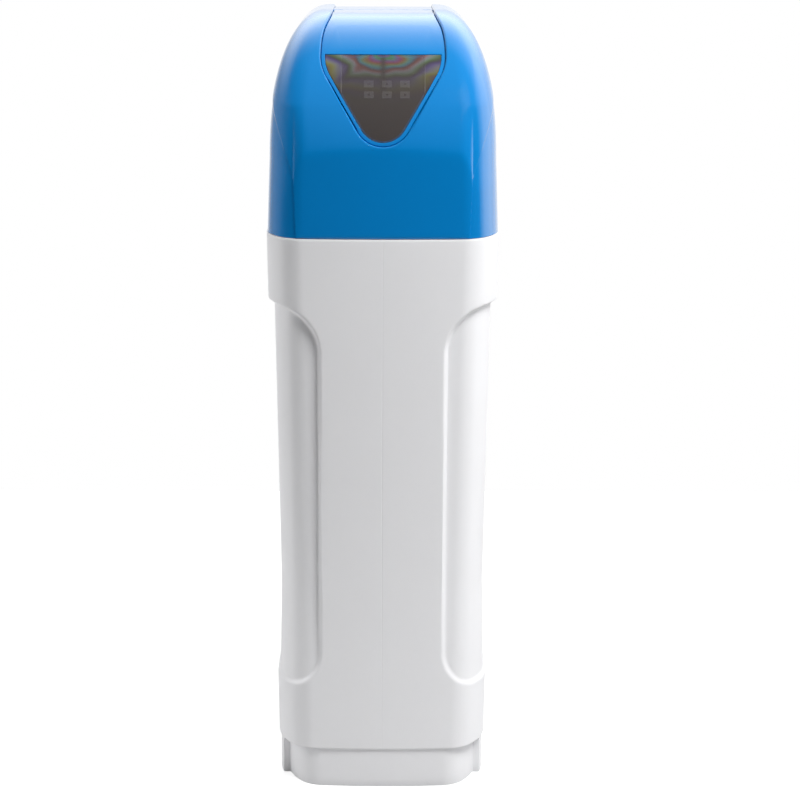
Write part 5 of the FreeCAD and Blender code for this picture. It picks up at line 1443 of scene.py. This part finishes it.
    def build_skin(self, material: Material) -> Thing:
        """The skin as one closed piece: face, rolled edge, ledge, a coarser lining and its foot.

        Args:
            material: its finish.

        Returns:
            The piece.
        """
        outer, normals, inner, outward = self.skin()
        ledge = self.section(inner, outward)
        keep = np.unique(np.concatenate([np.arange(4, len(outer) - 1, 3), [len(outer) - 1]]))
        lining = (outer - normals * self.wall)[keep]
        foot = outer[-1] - normals[-1] * self.foot_inset
        outer[-1, :, 2] += self.foot_rise
        half = np.concatenate([outer[::-1], ledge, lining, foot[None]])
        grid = np.concatenate([half[:, :0:-1] * MIRROR, half], axis=1)
        rows, columns = grid.shape[:2]
        faces = grid_faces(rows, columns, close_rows=True).tolist()
        faces.append([row * columns for row in range(rows)])
        faces.append([row * columns + columns - 1 for row in range(rows)][::-1])
        return piece("hood_skin", grid, faces, material, "cover")

    def build_saddle(self, material: Material) -> Thing:
        """The sunk band from the hinge over the crest to the pipe opening, fanned round a middle.

        Args:
            material: its finish.

        Returns:
            The piece.
        """
        across = np.linspace(-1.0, 1.0, 41) * (self.shield.crest_half - self.saddle_gap)
        beyond = np.clip(np.abs(across) - (self.notch_half - self.notch_radius), 0.0, None)
        end_z = self.notch_top - self.notch_radius + np.sqrt(self.notch_radius ** 2 - beyond ** 2)
        middle_y, middle_z = self.saddle_middle
        first = math.atan2(self.saddle_start - middle_y, self.form.crest - middle_z)
        last = np.arctan2(self.form.reach_rear(end_z) - middle_y, end_z - middle_z)
        ends = np.array(self.saddle_ends)
        shares = np.concatenate([ends, np.linspace(0.02, 0.98, 60), 1.0 - ends[::-1]])[:, None]
        angle = blended(first, last[None], shares)
        top = self.form.cast(joined(across, middle_y, middle_z),
                             joined(0.0, np.sin(angle), np.cos(angle)))
        roll = np.zeros((len(shares), 1, 1))
        roll[:len(ends), 0, 0] = self.saddle_roll
        roll[-len(ends):, 0, 0] = self.saddle_roll[::-1]
        upper = self.form.sunk(top, self.sunk + roll)
        lower = self.form.sunk(top, self.sunk + self.wall)
        return plate("hood_saddle", upper, lower, material, "cover")

    def build(self, wardrobe: Wardrobe) -> None:
        """Makes every piece of the hood.

        Args:
            wardrobe: where its finish comes from.
        """
        blue = wardrobe.material(HOOD_BLUE)
        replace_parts(self.build_skin(blue), "top_cover")
        self.build_saddle(blue)
        for place in (-2, 0, 2):
            name = "hood_knuckle_%d" % (place + 2)
            Knuckle().build(name, place, self.saddle_start + 1.0, blue, "cover")


@dataclass(frozen=True)
class LidPanel:
    """The lid: a plate that follows the hood, with a rolled edge, a window seat and knuckles."""

    form: HoodForm
    shield: Shield
    gap: float = 0.6
    sunk: float = 4.2
    wall: float = 4.0
    rear: float = 57.8
    border: float = 6.2
    window_top: float = 1081.0
    shelf: float = 3.0
    seat: float = 7.0
    roll: float = 1.5
    bead: float = 0.5
    seat_bead: tuple[tuple[float, float], ...] = ((0.0, 0.6), (-0.08, 0.3), (-0.3, 0.08),
                                                  (-0.6, 0.0))
    lining_inset: float = 2.0
    glass_gap: float = 0.35
    glass_sink: float = 0.5
    glass_wall: float = 2.1
    glass_middle: tuple[float, float] = (0.0, 1042.0)
    flank_points: int = 150
    top_points: int = 70
    side_points: int = 24

    def window_half(self, inwards: float, flank_points: int, top_points: int) -> Array:
        """The right half of the window's outline as (x, z) points: up its flank, along its top.

        Args:
            inwards: how far it is moved inwards.
            flank_points: how many points the flank gets.
            top_points: how many more the top edge gets.

        Returns:
            The points.
        """
        top = self.window_top - inwards
        flank = self.shield.front_part(-self.border - inwards, top)
        flank = respaced(flank, even(flank_points))
        edge = joined(np.linspace(flank[-1, 0], 0.0, top_points + 1)[1:], top)
        return np.concatenate([flank, edge])

    def window_line(self, inwards: float) -> Array:
        """The right half of the window's outline on the surface, moved inwards."""
        half = self.window_half(inwards, self.flank_points, self.top_points)
        return self.shield.on_front(half)

    def outer_line(self) -> Array:
        """The right half of the lid's own edge, point for point with the window's outline.

        Returns:
            The points, on the surface.
        """
        line = self.shield.edge(-self.gap, self.rear)
        shoulder = int(np.argmax(line[:, 2] > self.window_top))
        back = self.shield.on_top(joined(np.linspace(line[-1, 0], 0.0, 300), self.rear))
        back_points = self.top_points - self.side_points
        return np.concatenate([respaced(line[:shoulder + 1], even(self.flank_points)),
                               respaced(line[shoulder:], even(self.side_points + 1))[1:],
                               respaced(back, even(back_points + 1))[1:]])

    def build_plate(self, material: Material) -> Thing:
        """The lid as one closed ring: seat, upper face, rolled edge, wall and underside.

        Args:
            material: its finish.

        Returns:
            The piece.
        """
        outer = self.outer_line()
        normal = self.form.normal(outer)
        outward = away_from(outer, normal)
        outward[[0, -1]] = outward[[0, -1]] * UPRIGHT
        seat = [(self.shelf, self.seat), (0.0, self.seat)]
        seat += [(inwards, self.sunk + depth) for inwards, depth in self.seat_bead]
        rows = [self.form.sunk(self.window_line(inwards), depth) for inwards, depth in seat]
        shares = np.concatenate([[0.0, 0.04, 0.1, 0.2], np.linspace(0.3, 1.0, 26)])
        inner = self.window_line(self.seat_bead[-1][0])
        face = self.form.between(inner, outer - outward * self.roll, shares)[1:]
        rows.extend(self.form.sunk(face, self.sunk))
        rows += [outer - outward * across - normal * (self.sunk + down)
                 for across, down in rolled(self.roll, 5)]
        below = self.sunk + self.wall
        rows.append(outer - normal * (below - self.bead))
        rows.append(outer - outward * self.bead - normal * below)
        under = self.form.between(self.window_line(self.shelf),
                                  outer - outward * self.lining_inset, even(12))
        rows.extend(self.form.sunk(under, below)[::-1])
        grid = np.stack(rows)
        grid = np.concatenate([grid, grid[:, -2:0:-1] * MIRROR], axis=1)
        faces = grid_faces(*grid.shape[:2], close_rows=True, close_columns=True)
        return piece("lid_panel", grid, faces, material, "lid")

    def build_window(self, material: Material) -> Thing:
        """The smoked window: rings from its middle out to its rolled edge, above and below.

        Args:
            material: its finish.

        Returns:
            The piece.
        """
        right = self.window_half(self.glass_gap, 110, 50)
        outline = np.concatenate([right, right[-2:0:-1] * MIRROR[:2]])
        middle = np.array(self.glass_middle)
        top, bottom = self.sunk + self.glass_sink, self.sunk + self.glass_sink + self.glass_wall
        rings = [(share, top) for share in np.linspace(0.0, 0.985, 30)]
        rings += [(0.992, top + 0.05), (0.997, top + 0.2), (1.0, top + 0.5), (1.0, bottom - 0.2),
                  (0.995, bottom)]
        rings += [(share, bottom) for share in np.linspace(0.97, 0.0, 12)]
        grid = np.stack([
            self.form.sunk(self.shield.on_front(middle + (outline - middle) * share), depth)
            for share, depth in rings])
        faces = grid_faces(*grid.shape[:2], close_columns=True)
        return piece("window_pane", grid, faces, material, "lid", 50.0)

    def build(self, wardrobe: Wardrobe) -> None:
        """Makes the lid, its window and its knuckles.

        Args:
            wardrobe: where the finishes come from.
        """
        blue = wardrobe.material(HOOD_BLUE)
        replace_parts(self.build_plate(blue), "salt_lid")
        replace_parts(self.build_window(wardrobe.material(FINISH_OF["display_window"])), "display_window")
        for place in (-1, 1):
            name = "lid_knuckle_%d" % (place + 1)
            Knuckle().build(name, place, self.rear - 1.0, blue, "lid")


@dataclass(frozen=True)
class CabinetShell:
    """The white cabinet: drafted walls, a soft-lipped recess in each side, a plinth and a rim."""

    form: HoodForm
    foot: float = 60.0
    half_foot: float = 155.5
    front_foot: float = 241.0
    rear_foot: float = 228.0
    draft_end: float = 1.05
    plinth_inset: float = 3.0
    nose_inset: float = 13.5
    nose_depth: float = 62.0
    nose_overlap: float = 60.0
    wall: float = 4.0
    floor: float = 6.0
    recess_edge: float = 88.0
    recess_rear: float = 178.0
    recess_span: tuple[float, float] = (155.0, 729.0)
    recess_radii: tuple[float, float] = (53.0, 70.0)
    recess_depths: tuple[float, float] = (4.0, 9.0)
    recess_ramp: float = 300.0
    lip: float = 7.0
    lip_start: float = -0.5
    parting_depth: float = 0.3
    parting_span: tuple[float, float] = (0.15, 0.6)
    rim: tuple[float, float] = (4.3, 6.7)
    rim_low: float = 813.0
    rim_height: float = 9.0
    rim_gap: float = 88.0
    arch: float = 2.0
    arch_half: float = 90.0
    arch_span: tuple[float, float] = (-163.0, 150.0)
    arch_ease: float = 1.0
    hole: tuple[float, float, float] = (-96.0, 690.0, 9.3)
    hole_reach: tuple[float, float] = (1.5, 1.0)
    step: float = 0.3
    low_end: tuple[float, float] = (150.0, 238.0)
    high_end: tuple[float, float] = (654.0, 735.0)
    fine: float = 2.4
    coarse: float = 7.2

    def sizes(self, z: Array, inset: Array) -> tuple[Array, ...]:
        """The plan outline's sizes, grown evenly from the foot to the hood's own at the seam.

        Args:
            z: the height.
            inset: how far the outline is moved inwards.

        Returns:
            Half width, front and rear reach, and the three corner radii.
        """
        share = np.clip((z - self.foot) / (self.form.seam - self.foot), 0.0, self.draft_end)
        ends = ((self.half_foot, self.form.seam_half), (self.front_foot, self.form.front),
                (self.rear_foot, self.form.rear))
        lengths = [low + (high - low) * share - inset for low, high in ends]
        return (*lengths, self.form.tight - inset, self.form.wide - inset, self.form.back - inset)

    def body(self, point: Array, inset: Array) -> Array:
        """How far points lie outside the drafted walls moved inwards."""
        return self.form.plan(point[..., 0], point[..., 1], self.sizes(point[..., 2], inset))

    def plinth(self, point: Array, inset: Array) -> Array:
        """How far points lie outside the plinth: its full rear part joined to a narrower nose.

        Args:
            point: the points.
            inset: how far the plinth is moved inwards.

        Returns:
            The distance, the smaller of the two parts' own.
        """
        x, y = point[..., 0], point[..., 1]
        split = self.nose_depth - self.front_foot
        full = self.sizes(np.array(self.foot), self.plinth_inset + inset)
        narrow = (full[0] - self.nose_inset + self.plinth_inset, *full[1:])
        rear = np.maximum(self.form.plan(x, y, full), split + inset - y)
        nose = np.maximum(self.form.plan(x, y, narrow), y - split - self.nose_overlap)
        return np.minimum(rear, nose)

    @staticmethod
    def turns() -> Array:
        """The columns' turns from the front, closer together where the outline bends.

        Returns:
            The turns, in radians.
        """
        right = np.concatenate([
            [0.0, 0.05, 0.11, 0.17, 0.4], np.arange(1.5, 14.0, 2.0), np.arange(14.0, 27.0, 0.4),
            np.arange(27.0, 60.0, 0.9), np.arange(60.0, 124.0, 3.5), np.arange(124.0, 146.0, 0.7),
            np.arange(146.0, 180.0, 1.2), [180.0]])
        return np.radians(np.concatenate([right, 360.0 - right[-2:0:-1]]))

    def recess(self, point: Array, grow: float) -> Array:
        """The depth of the side recess: a smooth step in from its rounded outline.

        The outer wall, where the recess isn't grown, also has the parting line down its front.

        Args:
            point: the points.
            grow: how far the outline is moved outwards.

        Returns:
            The depth.
        """
        x, y, z = np.abs(point[..., 0]), point[..., 1], point[..., 2]
        (low, high), (tight, wide) = self.recess_span, self.recess_radii
        inside = np.full(x.shape, np.inf)
        for across in (x - self.recess_edge, self.recess_rear - y):
            part = np.minimum(across, np.minimum(z - low, high - z))
            for up, radius in ((z - low, tight), (high - z, wide)):
                corner = (across < radius) & (up < radius)
                part = np.where(corner, radius - np.hypot(radius - across, radius - up), part)
            inside = np.minimum(inside, part)
        deep = np.interp(z, (low, self.recess_ramp), self.recess_depths)
        parting = self.parting_depth * (1.0 - ease(x, *self.parting_span))
        line = np.where(y < 0.0, parting, 0.0) * (grow == 0.0)
        return deep * ease(inside + grow, self.lip_start, self.lip) + line

    def ring(self, distance: Callable[[Array, Array], Array], heights: Sequence[float],
             insets: Sequence[float]) -> Array:
        """Rows of points round an outline at given heights.

        Args:
            distance: gives how far points lie outside the outline moved inwards.
            heights: the rows' heights.
            insets: how far each row is moved inwards.

        Returns:
            The rows.
        """
        up, inset = (np.asarray(values, float)[:, None] for values in (heights, insets))
        return cast_onto(lambda point: distance(point, inset), joined(0.0, 0.0, up),
                         headings(self.turns())[None])

    def recessed(self, heights: Sequence[float], inset: float) -> Array:
        """Rows of points round the walls with the recess sunk in them along the level normal.

        Args:
            heights: the rows' heights.
            inset: how far the walls are moved inwards and the recess outwards.

        Returns:
            The rows.
        """
        rows = self.ring(self.body, heights, np.full(len(heights), inset))
        parts = [self.body(rows + shift, inset) - self.body(rows - shift, inset)
                 for shift in np.eye(3)[:2] * self.step]
        return rows - unit(joined(*parts, 0.0)) * self.recess(rows, inset)[..., None]

    def underside(self) -> Array:
        """The bottom, drawn in to the middle, with a shallow hollow between the four feet.

        Returns:
            The rows.
        """
        edge = self.ring(self.plinth, [0.0], [0.8])
        shares = np.array([1.0, 0.96, 0.9, 0.8, 0.68, 0.55, 0.4, 0.25, 0.1, 0.0])
        rows = edge * shares[:, None, None]
        x, y = np.abs(rows[..., 0]), rows[..., 1]
        soft = self.arch_ease
        side, front, rear = (ease(away, limit - soft, limit + soft) for away, limit in (
            (x, self.arch_half), (-y, -self.arch_span[0]), (y, self.arch_span[1])))
        rows[..., 2] = self.arch * (1.0 - side * np.maximum(rear, front))
        return rows

    def open_hole(self, grid: Array, faces: Array, outer: slice, inner: slice
                  ) -> tuple[Array, Array]:
        """Opens the round hole for the overflow through both walls.

        The grid lines nearest the hole are drawn in to its circle, the faces inside it are dropped,
        and the two circles are joined by a tube.

        Args:
            grid: the cabinet's grid.
            faces: its faces.
            outer: the rows of the outer wall.
            inner: the rows of the inner wall.

        Returns:
            The grid and the faces with the hole.
        """
        across, height, radius = self.hole
        columns = grid.shape[1]
        loops, drop = [], np.zeros(len(faces), dtype=bool)
        for part in (outer, inner):
            z = grid[part, 0, 2]
            rows = np.flatnonzero(np.abs(z - height) < radius + self.hole_reach[1]) + part.start
            x, y = grid[rows[0], :, 0], grid[rows[0], :, 1]
            near = np.flatnonzero((np.abs(x - across) < radius + self.hole_reach[0]) & (y > 0.0))
            if z[0] < z[-1]:
                rows = rows[::-1]
            first, last = near[0], near[-1]
            loop = [(rows[0], column) for column in near] + [(row, last) for row in rows[1:]]
            loop += [(rows[-1], column) for column in near[-2::-1]]
            loop += [(row, first) for row in rows[-2:0:-1]]
            row, column = np.array(loop).T
            flat = unit(grid[row, column][:, [0, 2]] - (across, height)) * radius
            grid[row, column, 0], grid[row, column, 2] = (flat + (across, height)).T
            loops.append(row * columns + column)
            row, column = faces // columns, faces % columns
            inside = (row >= rows.min()) & (row <= rows.max())
            drop |= (inside & (column >= first) & (column <= last)).all(axis=1)
        ahead = [np.roll(loop, -1) for loop in loops]
        tube = joined(loops[0], ahead[0], ahead[1], loops[1])
        return grid, np.concatenate([faces[~drop], tube])

    def build(self, material: Material) -> Thing:
        """The cabinet as one closed piece, from the seam down outside and up again inside.

        Args:
            material: its finish.

        Returns:
            The piece.
        """
        foot, seam, wall, floor = self.foot, self.form.seam, self.wall, self.floor
        top = seam + self.rim_height
        # Rows stand close together where the recess ends, and wider apart inside than outside.
        high_end = np.arange(*self.high_end, self.fine)
        outside = np.concatenate([np.linspace(820.0, 740.0, 9), high_end[::-1],
                                  np.linspace(645.0, 245.0, 36),
                                  np.arange(*self.low_end, self.fine)[::-1],
                                  np.linspace(140.0, foot + 6.0, 7)])
        within = np.concatenate([np.linspace(68.0, 140.0, 5),
                                 np.arange(*self.low_end, self.coarse),
                                 np.linspace(245.0, 645.0, 14), high_end,
                                 np.linspace(740.0, 805.0, 5)])
        slab = self.ring(self.plinth, [floor], [wall + 2.0])
        slab = slab * np.array([0.0, 0.2, 0.6, 0.9, 1.0])[:, None, None]
        slab[..., 2] = floor
        near, far = self.rim
        rim = self.ring(self.body, [self.rim_low - 0.1, self.rim_low, self.rim_low + 0.6,
                                    top - 0.5, top, top, top - 0.5, seam],
                        [wall, far - 0.5, far, far, far - 0.5, near + 0.5, near, near])
        gap = (np.abs(rim[..., 0]) < self.rim_gap) & (rim[..., 1] > 0.0)
        rim[..., 2] = np.where(gap, np.minimum(rim[..., 2], seam), rim[..., 2])
        parts = [
            self.ring(self.body, [seam, seam - 0.05, seam - 0.35, seam - 1.2],
                      [1.2, 0.75, 0.35, 0.0]),
            self.recessed(outside, 0.0),
            self.ring(self.body, [foot + 2.0, foot + 0.5, foot + 0.1, foot],
                      [0.0, 0.05, 0.3, 0.8]),
            self.ring(self.plinth, [foot, foot - 1.4, 45.0, 15.0, 1.0, 0.3],
                      [0.0, 0.0, 0.0, 0.0, 0.0, 0.2]),
            self.underside(),
            slab,
            self.ring(self.plinth, [floor + 0.6, floor + 6.0, foot + 3.0, foot + 4.0],
                      [wall + 0.2, wall, wall, wall + 1.0]),
            self.recessed(within, wall),
            rim,
        ]
        starts = np.cumsum([0] + [len(part) for part in parts])
        grid = np.concatenate(parts)
        faces = grid_faces(*grid.shape[:2], close_rows=True, close_columns=True)
        faces = faces[faces[:, 0] // grid.shape[1] != starts[5] - 1]
        outer_rows, inner_rows = slice(starts[1], starts[2]), slice(starts[7], starts[8])
        grid, faces = self.open_hole(grid, faces, outer_rows, inner_rows)
        return piece("cabinet_skin", grid, faces, material, "cabinet", 38.0)


@dataclass(frozen=True)
class Glyph:
    """A raised sign on a key: a polygon with rounded corners and evenly turned sides.

    Its radius is a soft minimum of the sides' own, a root of a sum of powers. Each side is given
    by its distance from the middle, and the first also by the direction that it faces, in degrees.
    """

    key: str
    reach: tuple[float, ...]
    first: float
    column: float
    row: float
    spacing: tuple[float, float] = (27.0, 16.0)
    middle: tuple[float, float] = (5.7, 1016.0)
    face: float = -11.2
    power: float = 9.0
    rings: tuple[tuple[float, float], ...] = ((0.0, -0.3), (1.0, -0.3), (1.0, 0.22), (0.95, 0.32),
                                              (0.85, 0.36), (0.5, 0.36), (0.0, 0.36))

    def build(self, material: Material) -> Thing:
        """Makes the sign: rings from its foot over a rolled edge to its middle.

        Args:
            material: its finish.

        Returns:
            The piece.
        """
        turn = np.linspace(0.0, 4.0 * QUARTER, 49)[:-1]
        angles = self.first + np.arange(len(self.reach)) * 360.0 / len(self.reach)
        total = sum(np.clip(np.cos(turn - math.radians(angle)) / reach, 0.0, None) ** self.power
                    for angle, reach in zip(angles, self.reach))
        radius = total ** (-1.0 / self.power)
        middle = (self.middle[0] + self.column * self.spacing[0],
                  self.middle[1] + self.row * self.spacing[1])
        rows = []
        for share, rise in self.rings:
            flat = arc(middle, share * radius, turn)
            rows.append(joined(flat[:, 0], self.face - rise, flat[:, 1]))
        grid = np.stack(rows)
        faces = grid_faces(*grid.shape[:2], close_columns=True)
        return piece(self.key + "_sign", grid, faces, material, self.key)


TRIANGLE, HEXAGON, BAR = (1.3,) * 3, (1.7,) * 6, (2.6, 0.7, 2.6, 0.7)
GLYPHS = (
    Glyph("key_up", TRIANGLE, -90.0, 0.0, 0.5),
    Glyph("key_down", TRIANGLE, 90.0, 0.0, -0.5),
    Glyph("key_left", TRIANGLE, 0.0, -1.0, -0.5),
    Glyph("key_right", TRIANGLE, 180.0, 1.0, -0.5),
    Glyph("key_menu", BAR, 0.0, -1.0, 0.5),
    Glyph("key_set", HEXAGON, 0.0, 1.0, 0.5),
)


@dataclass(frozen=True)
class SoftBox:
    """A square lamp, aimed at a point of the middle line, that may be left out of reflections."""

    name: str
    place: tuple[float, float, float]
    aim: float
    size: float
    power: float
    shiny: bool = False

    def build(self) -> None:
        """Makes the lamp."""
        data = bpy.data.lights.new(self.name, "AREA")
        data.shape = "SQUARE"
        data.size = self.size
        data.energy = self.power
        lamp = bpy.data.objects.new(self.name, data)
        bpy.context.scene.collection.objects.link(lamp)
        toward = Vector((0.0, 0.0, self.aim)) - Vector(self.place)
        lamp.rotation_euler = toward.to_track_quat("-Z", "Y").to_euler()
        lamp.location = self.place
        lamp.visible_camera = False
        lamp.visible_glossy = self.shiny


SOFT_BOXES = (
    SoftBox("soft_right", (2.5, 0.7, 1.5), 0.7, 2.4, 5.0, shiny=True),
    SoftBox("soft_left", (-2.5, 0.5, 1.5), 0.7, 1.8, 33.0),
    SoftBox("soft_back", (0.4, 2.8, 2.2), 0.9, 2.4, 17.0),
    SoftBox("fill_front", (1.5, -1.5, 3.2), 0.8, 1.4, 117.0),
)


@dataclass(frozen=True)
class Surround:
    """The light all round: white to the camera, bright above, beside and behind, dark in front.

    Its level is a smooth step of how far a direction points behind, or one of how far it points
    up where that is more. To reflections the first step starts further back, so that they show the
    same white backdrop, brightest high up behind and darker at the left. A step is given by where
    it starts and ends and by what it gives there.
    """

    sideways: float = 0.15
    shiny_stretch: float = 0.54
    shiny_shift: float = -0.82
    dull_level: float = 0.58
    beside: tuple[float, ...] = (-0.9, 0.1, 0.03, 1.0)
    above: tuple[float, ...] = (-0.1, 0.9, 0.0, 0.24)
    left: tuple[float, ...] = (-0.65, -0.1, 0.3, 1.0)
    glare_behind: tuple[float, ...] = (0.4, 0.85, 0.0, 1.0)
    glare_high: tuple[float, ...] = (0.15, 0.5, 0.0, 1.0)

    def build(self) -> None:
        """Makes the world's shader, which tells reflections from plain light."""
        world = bpy.data.worlds.new("surround")
        world.use_nodes = True
        world.node_tree.nodes.clear()
        sheet = NodeSheet(world.node_tree)
        path = sheet.add("ShaderNodeLightPath").outputs
        direction = sheet.add("ShaderNodeTexCoord").outputs["Generated"]
        right, behind, up = sheet.add("ShaderNodeSeparateXYZ", Vector=direction).outputs
        shiny = sheet.plus(path["Is Glossy Ray"], path["Is Transmission Ray"], clamp=True)
        leaning = sheet.times_plus(right, self.sideways, behind)
        leaning = sheet.times(leaning, sheet.times_plus(shiny, self.shiny_stretch, 1.0))
        leaning = sheet.times_plus(shiny, self.shiny_shift, leaning)
        level = sheet.maths("MAXIMUM", sheet.slope(leaning, *self.beside),
                            sheet.slope(up, *self.above))
        gain = sheet.times_plus(shiny, 1.0 - self.dull_level, self.dull_level)
        level = sheet.times(level, gain)
        left = sheet.maths("MAXIMUM", sheet.slope(right, *self.left), sheet.less(1.0, shiny))
        level = sheet.times(level, left)
        glare = sheet.times(sheet.slope(behind, *self.glare_behind),
                            sheet.slope(up, *self.glare_high))
        level = sheet.times_plus(glare, shiny, level)
        direct = sheet.less(path["Is Camera Ray"], path["Transparent Depth"], clamp=True)
        back = sheet.add("ShaderNodeBackground", Color=opaque((1.0,) * 3),
                         Strength=sheet.maths("MAXIMUM", level, direct))
        sheet.add("ShaderNodeOutputWorld", Surface=back.outputs[0])
        bpy.context.scene.world = world


@dataclass(frozen=True)
class Studio:
    """The floor, the light and the camera of the photograph, in metres."""

    distance: float = 3.380
    height: float = 1.281
    pitch: float = 13.2
    roll: float = 0.13
    lens: float = 100.8
    sensor: float = 36.0
    shift: float = 0.0221
    drop: float = 0.0404
    far: float = 100.0
    floor_reach: float = 1.5
    floor_grey: float = 0.62
    floor_roughness: float = 0.9
    floor_glow: float = 0.6

    def build(self) -> None:
        """Sets up the whole studio."""
        self._camera()
        self._floor()
        Surround().build()
        for lamp in SOFT_BOXES:
            lamp.build()

    def _camera(self) -> None:
        """The camera, level with the middle of the front and looking a little down."""
        data = bpy.data.cameras.new("camera")
        data.lens = self.lens
        data.sensor_width = self.sensor
        data.shift_x = self.shift
        data.shift_y = self.drop
        data.clip_end = self.far
        camera = bpy.data.objects.new("camera", data)
        bpy.context.scene.collection.objects.link(camera)
        tilt = Matrix.Rotation(math.radians(90.0 - self.pitch), 4, "X")
        spin = Matrix.Rotation(math.radians(self.roll), 4, "Z")
        place = Matrix.Translation((0.0, -self.distance, self.height))
        camera.matrix_world = place @ tilt @ spin
        bpy.context.scene.camera = camera

    def _floor(self) -> None:
        """A white floor round the object that keeps a faint shadow."""
        mesh = bpy.data.meshes.new("floor")
        reach = self.floor_reach
        mesh.from_pydata([(-reach, -reach, 0), (reach, -reach, 0), (reach, reach, 0),
                          (-reach, reach, 0)], [], [(0, 1, 2, 3)])
        floor = bpy.data.objects.new("floor", mesh)
        bpy.context.scene.collection.objects.link(floor)
        material, sheet, surface, _ = Workshop.blank("floor_white")
        path = sheet.add("ShaderNodeLightPath").outputs
        seen = sheet.plus(path["Is Camera Ray"], path["Is Transmission Ray"], clamp=True)
        sheet.wire(surface, Base_Color=opaque((self.floor_grey,) * 3),
                   Roughness=self.floor_roughness, Emission_Color=opaque((1.0,) * 3),
                   Emission_Strength=sheet.times(seen, self.floor_glow))
        mesh.materials.append(material)


def main() -> None:
    """Builds the object and its studio."""
    logging.basicConfig(level=logging.INFO, format="%(name)s: %(message)s")
    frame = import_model()
    Workshop.open()
    wardrobe = Wardrobe()
    wardrobe.dress(frame["nodes"])
    form = HoodForm()
    shield = Shield(form)
    HoodShell(form, shield).build(wardrobe)
    LidPanel(form, shield).build(wardrobe)
    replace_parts(CabinetShell(form).build(wardrobe.material(WHITE_SHELL)), "cabinet_shell")
    for glyph in GLYPHS:
        glyph.build(wardrobe.material(SIGN_GREY))
    Studio().build()
    bpy.context.scene.view_settings.view_transform = "Standard"


if __name__ == "__main__":
    main()
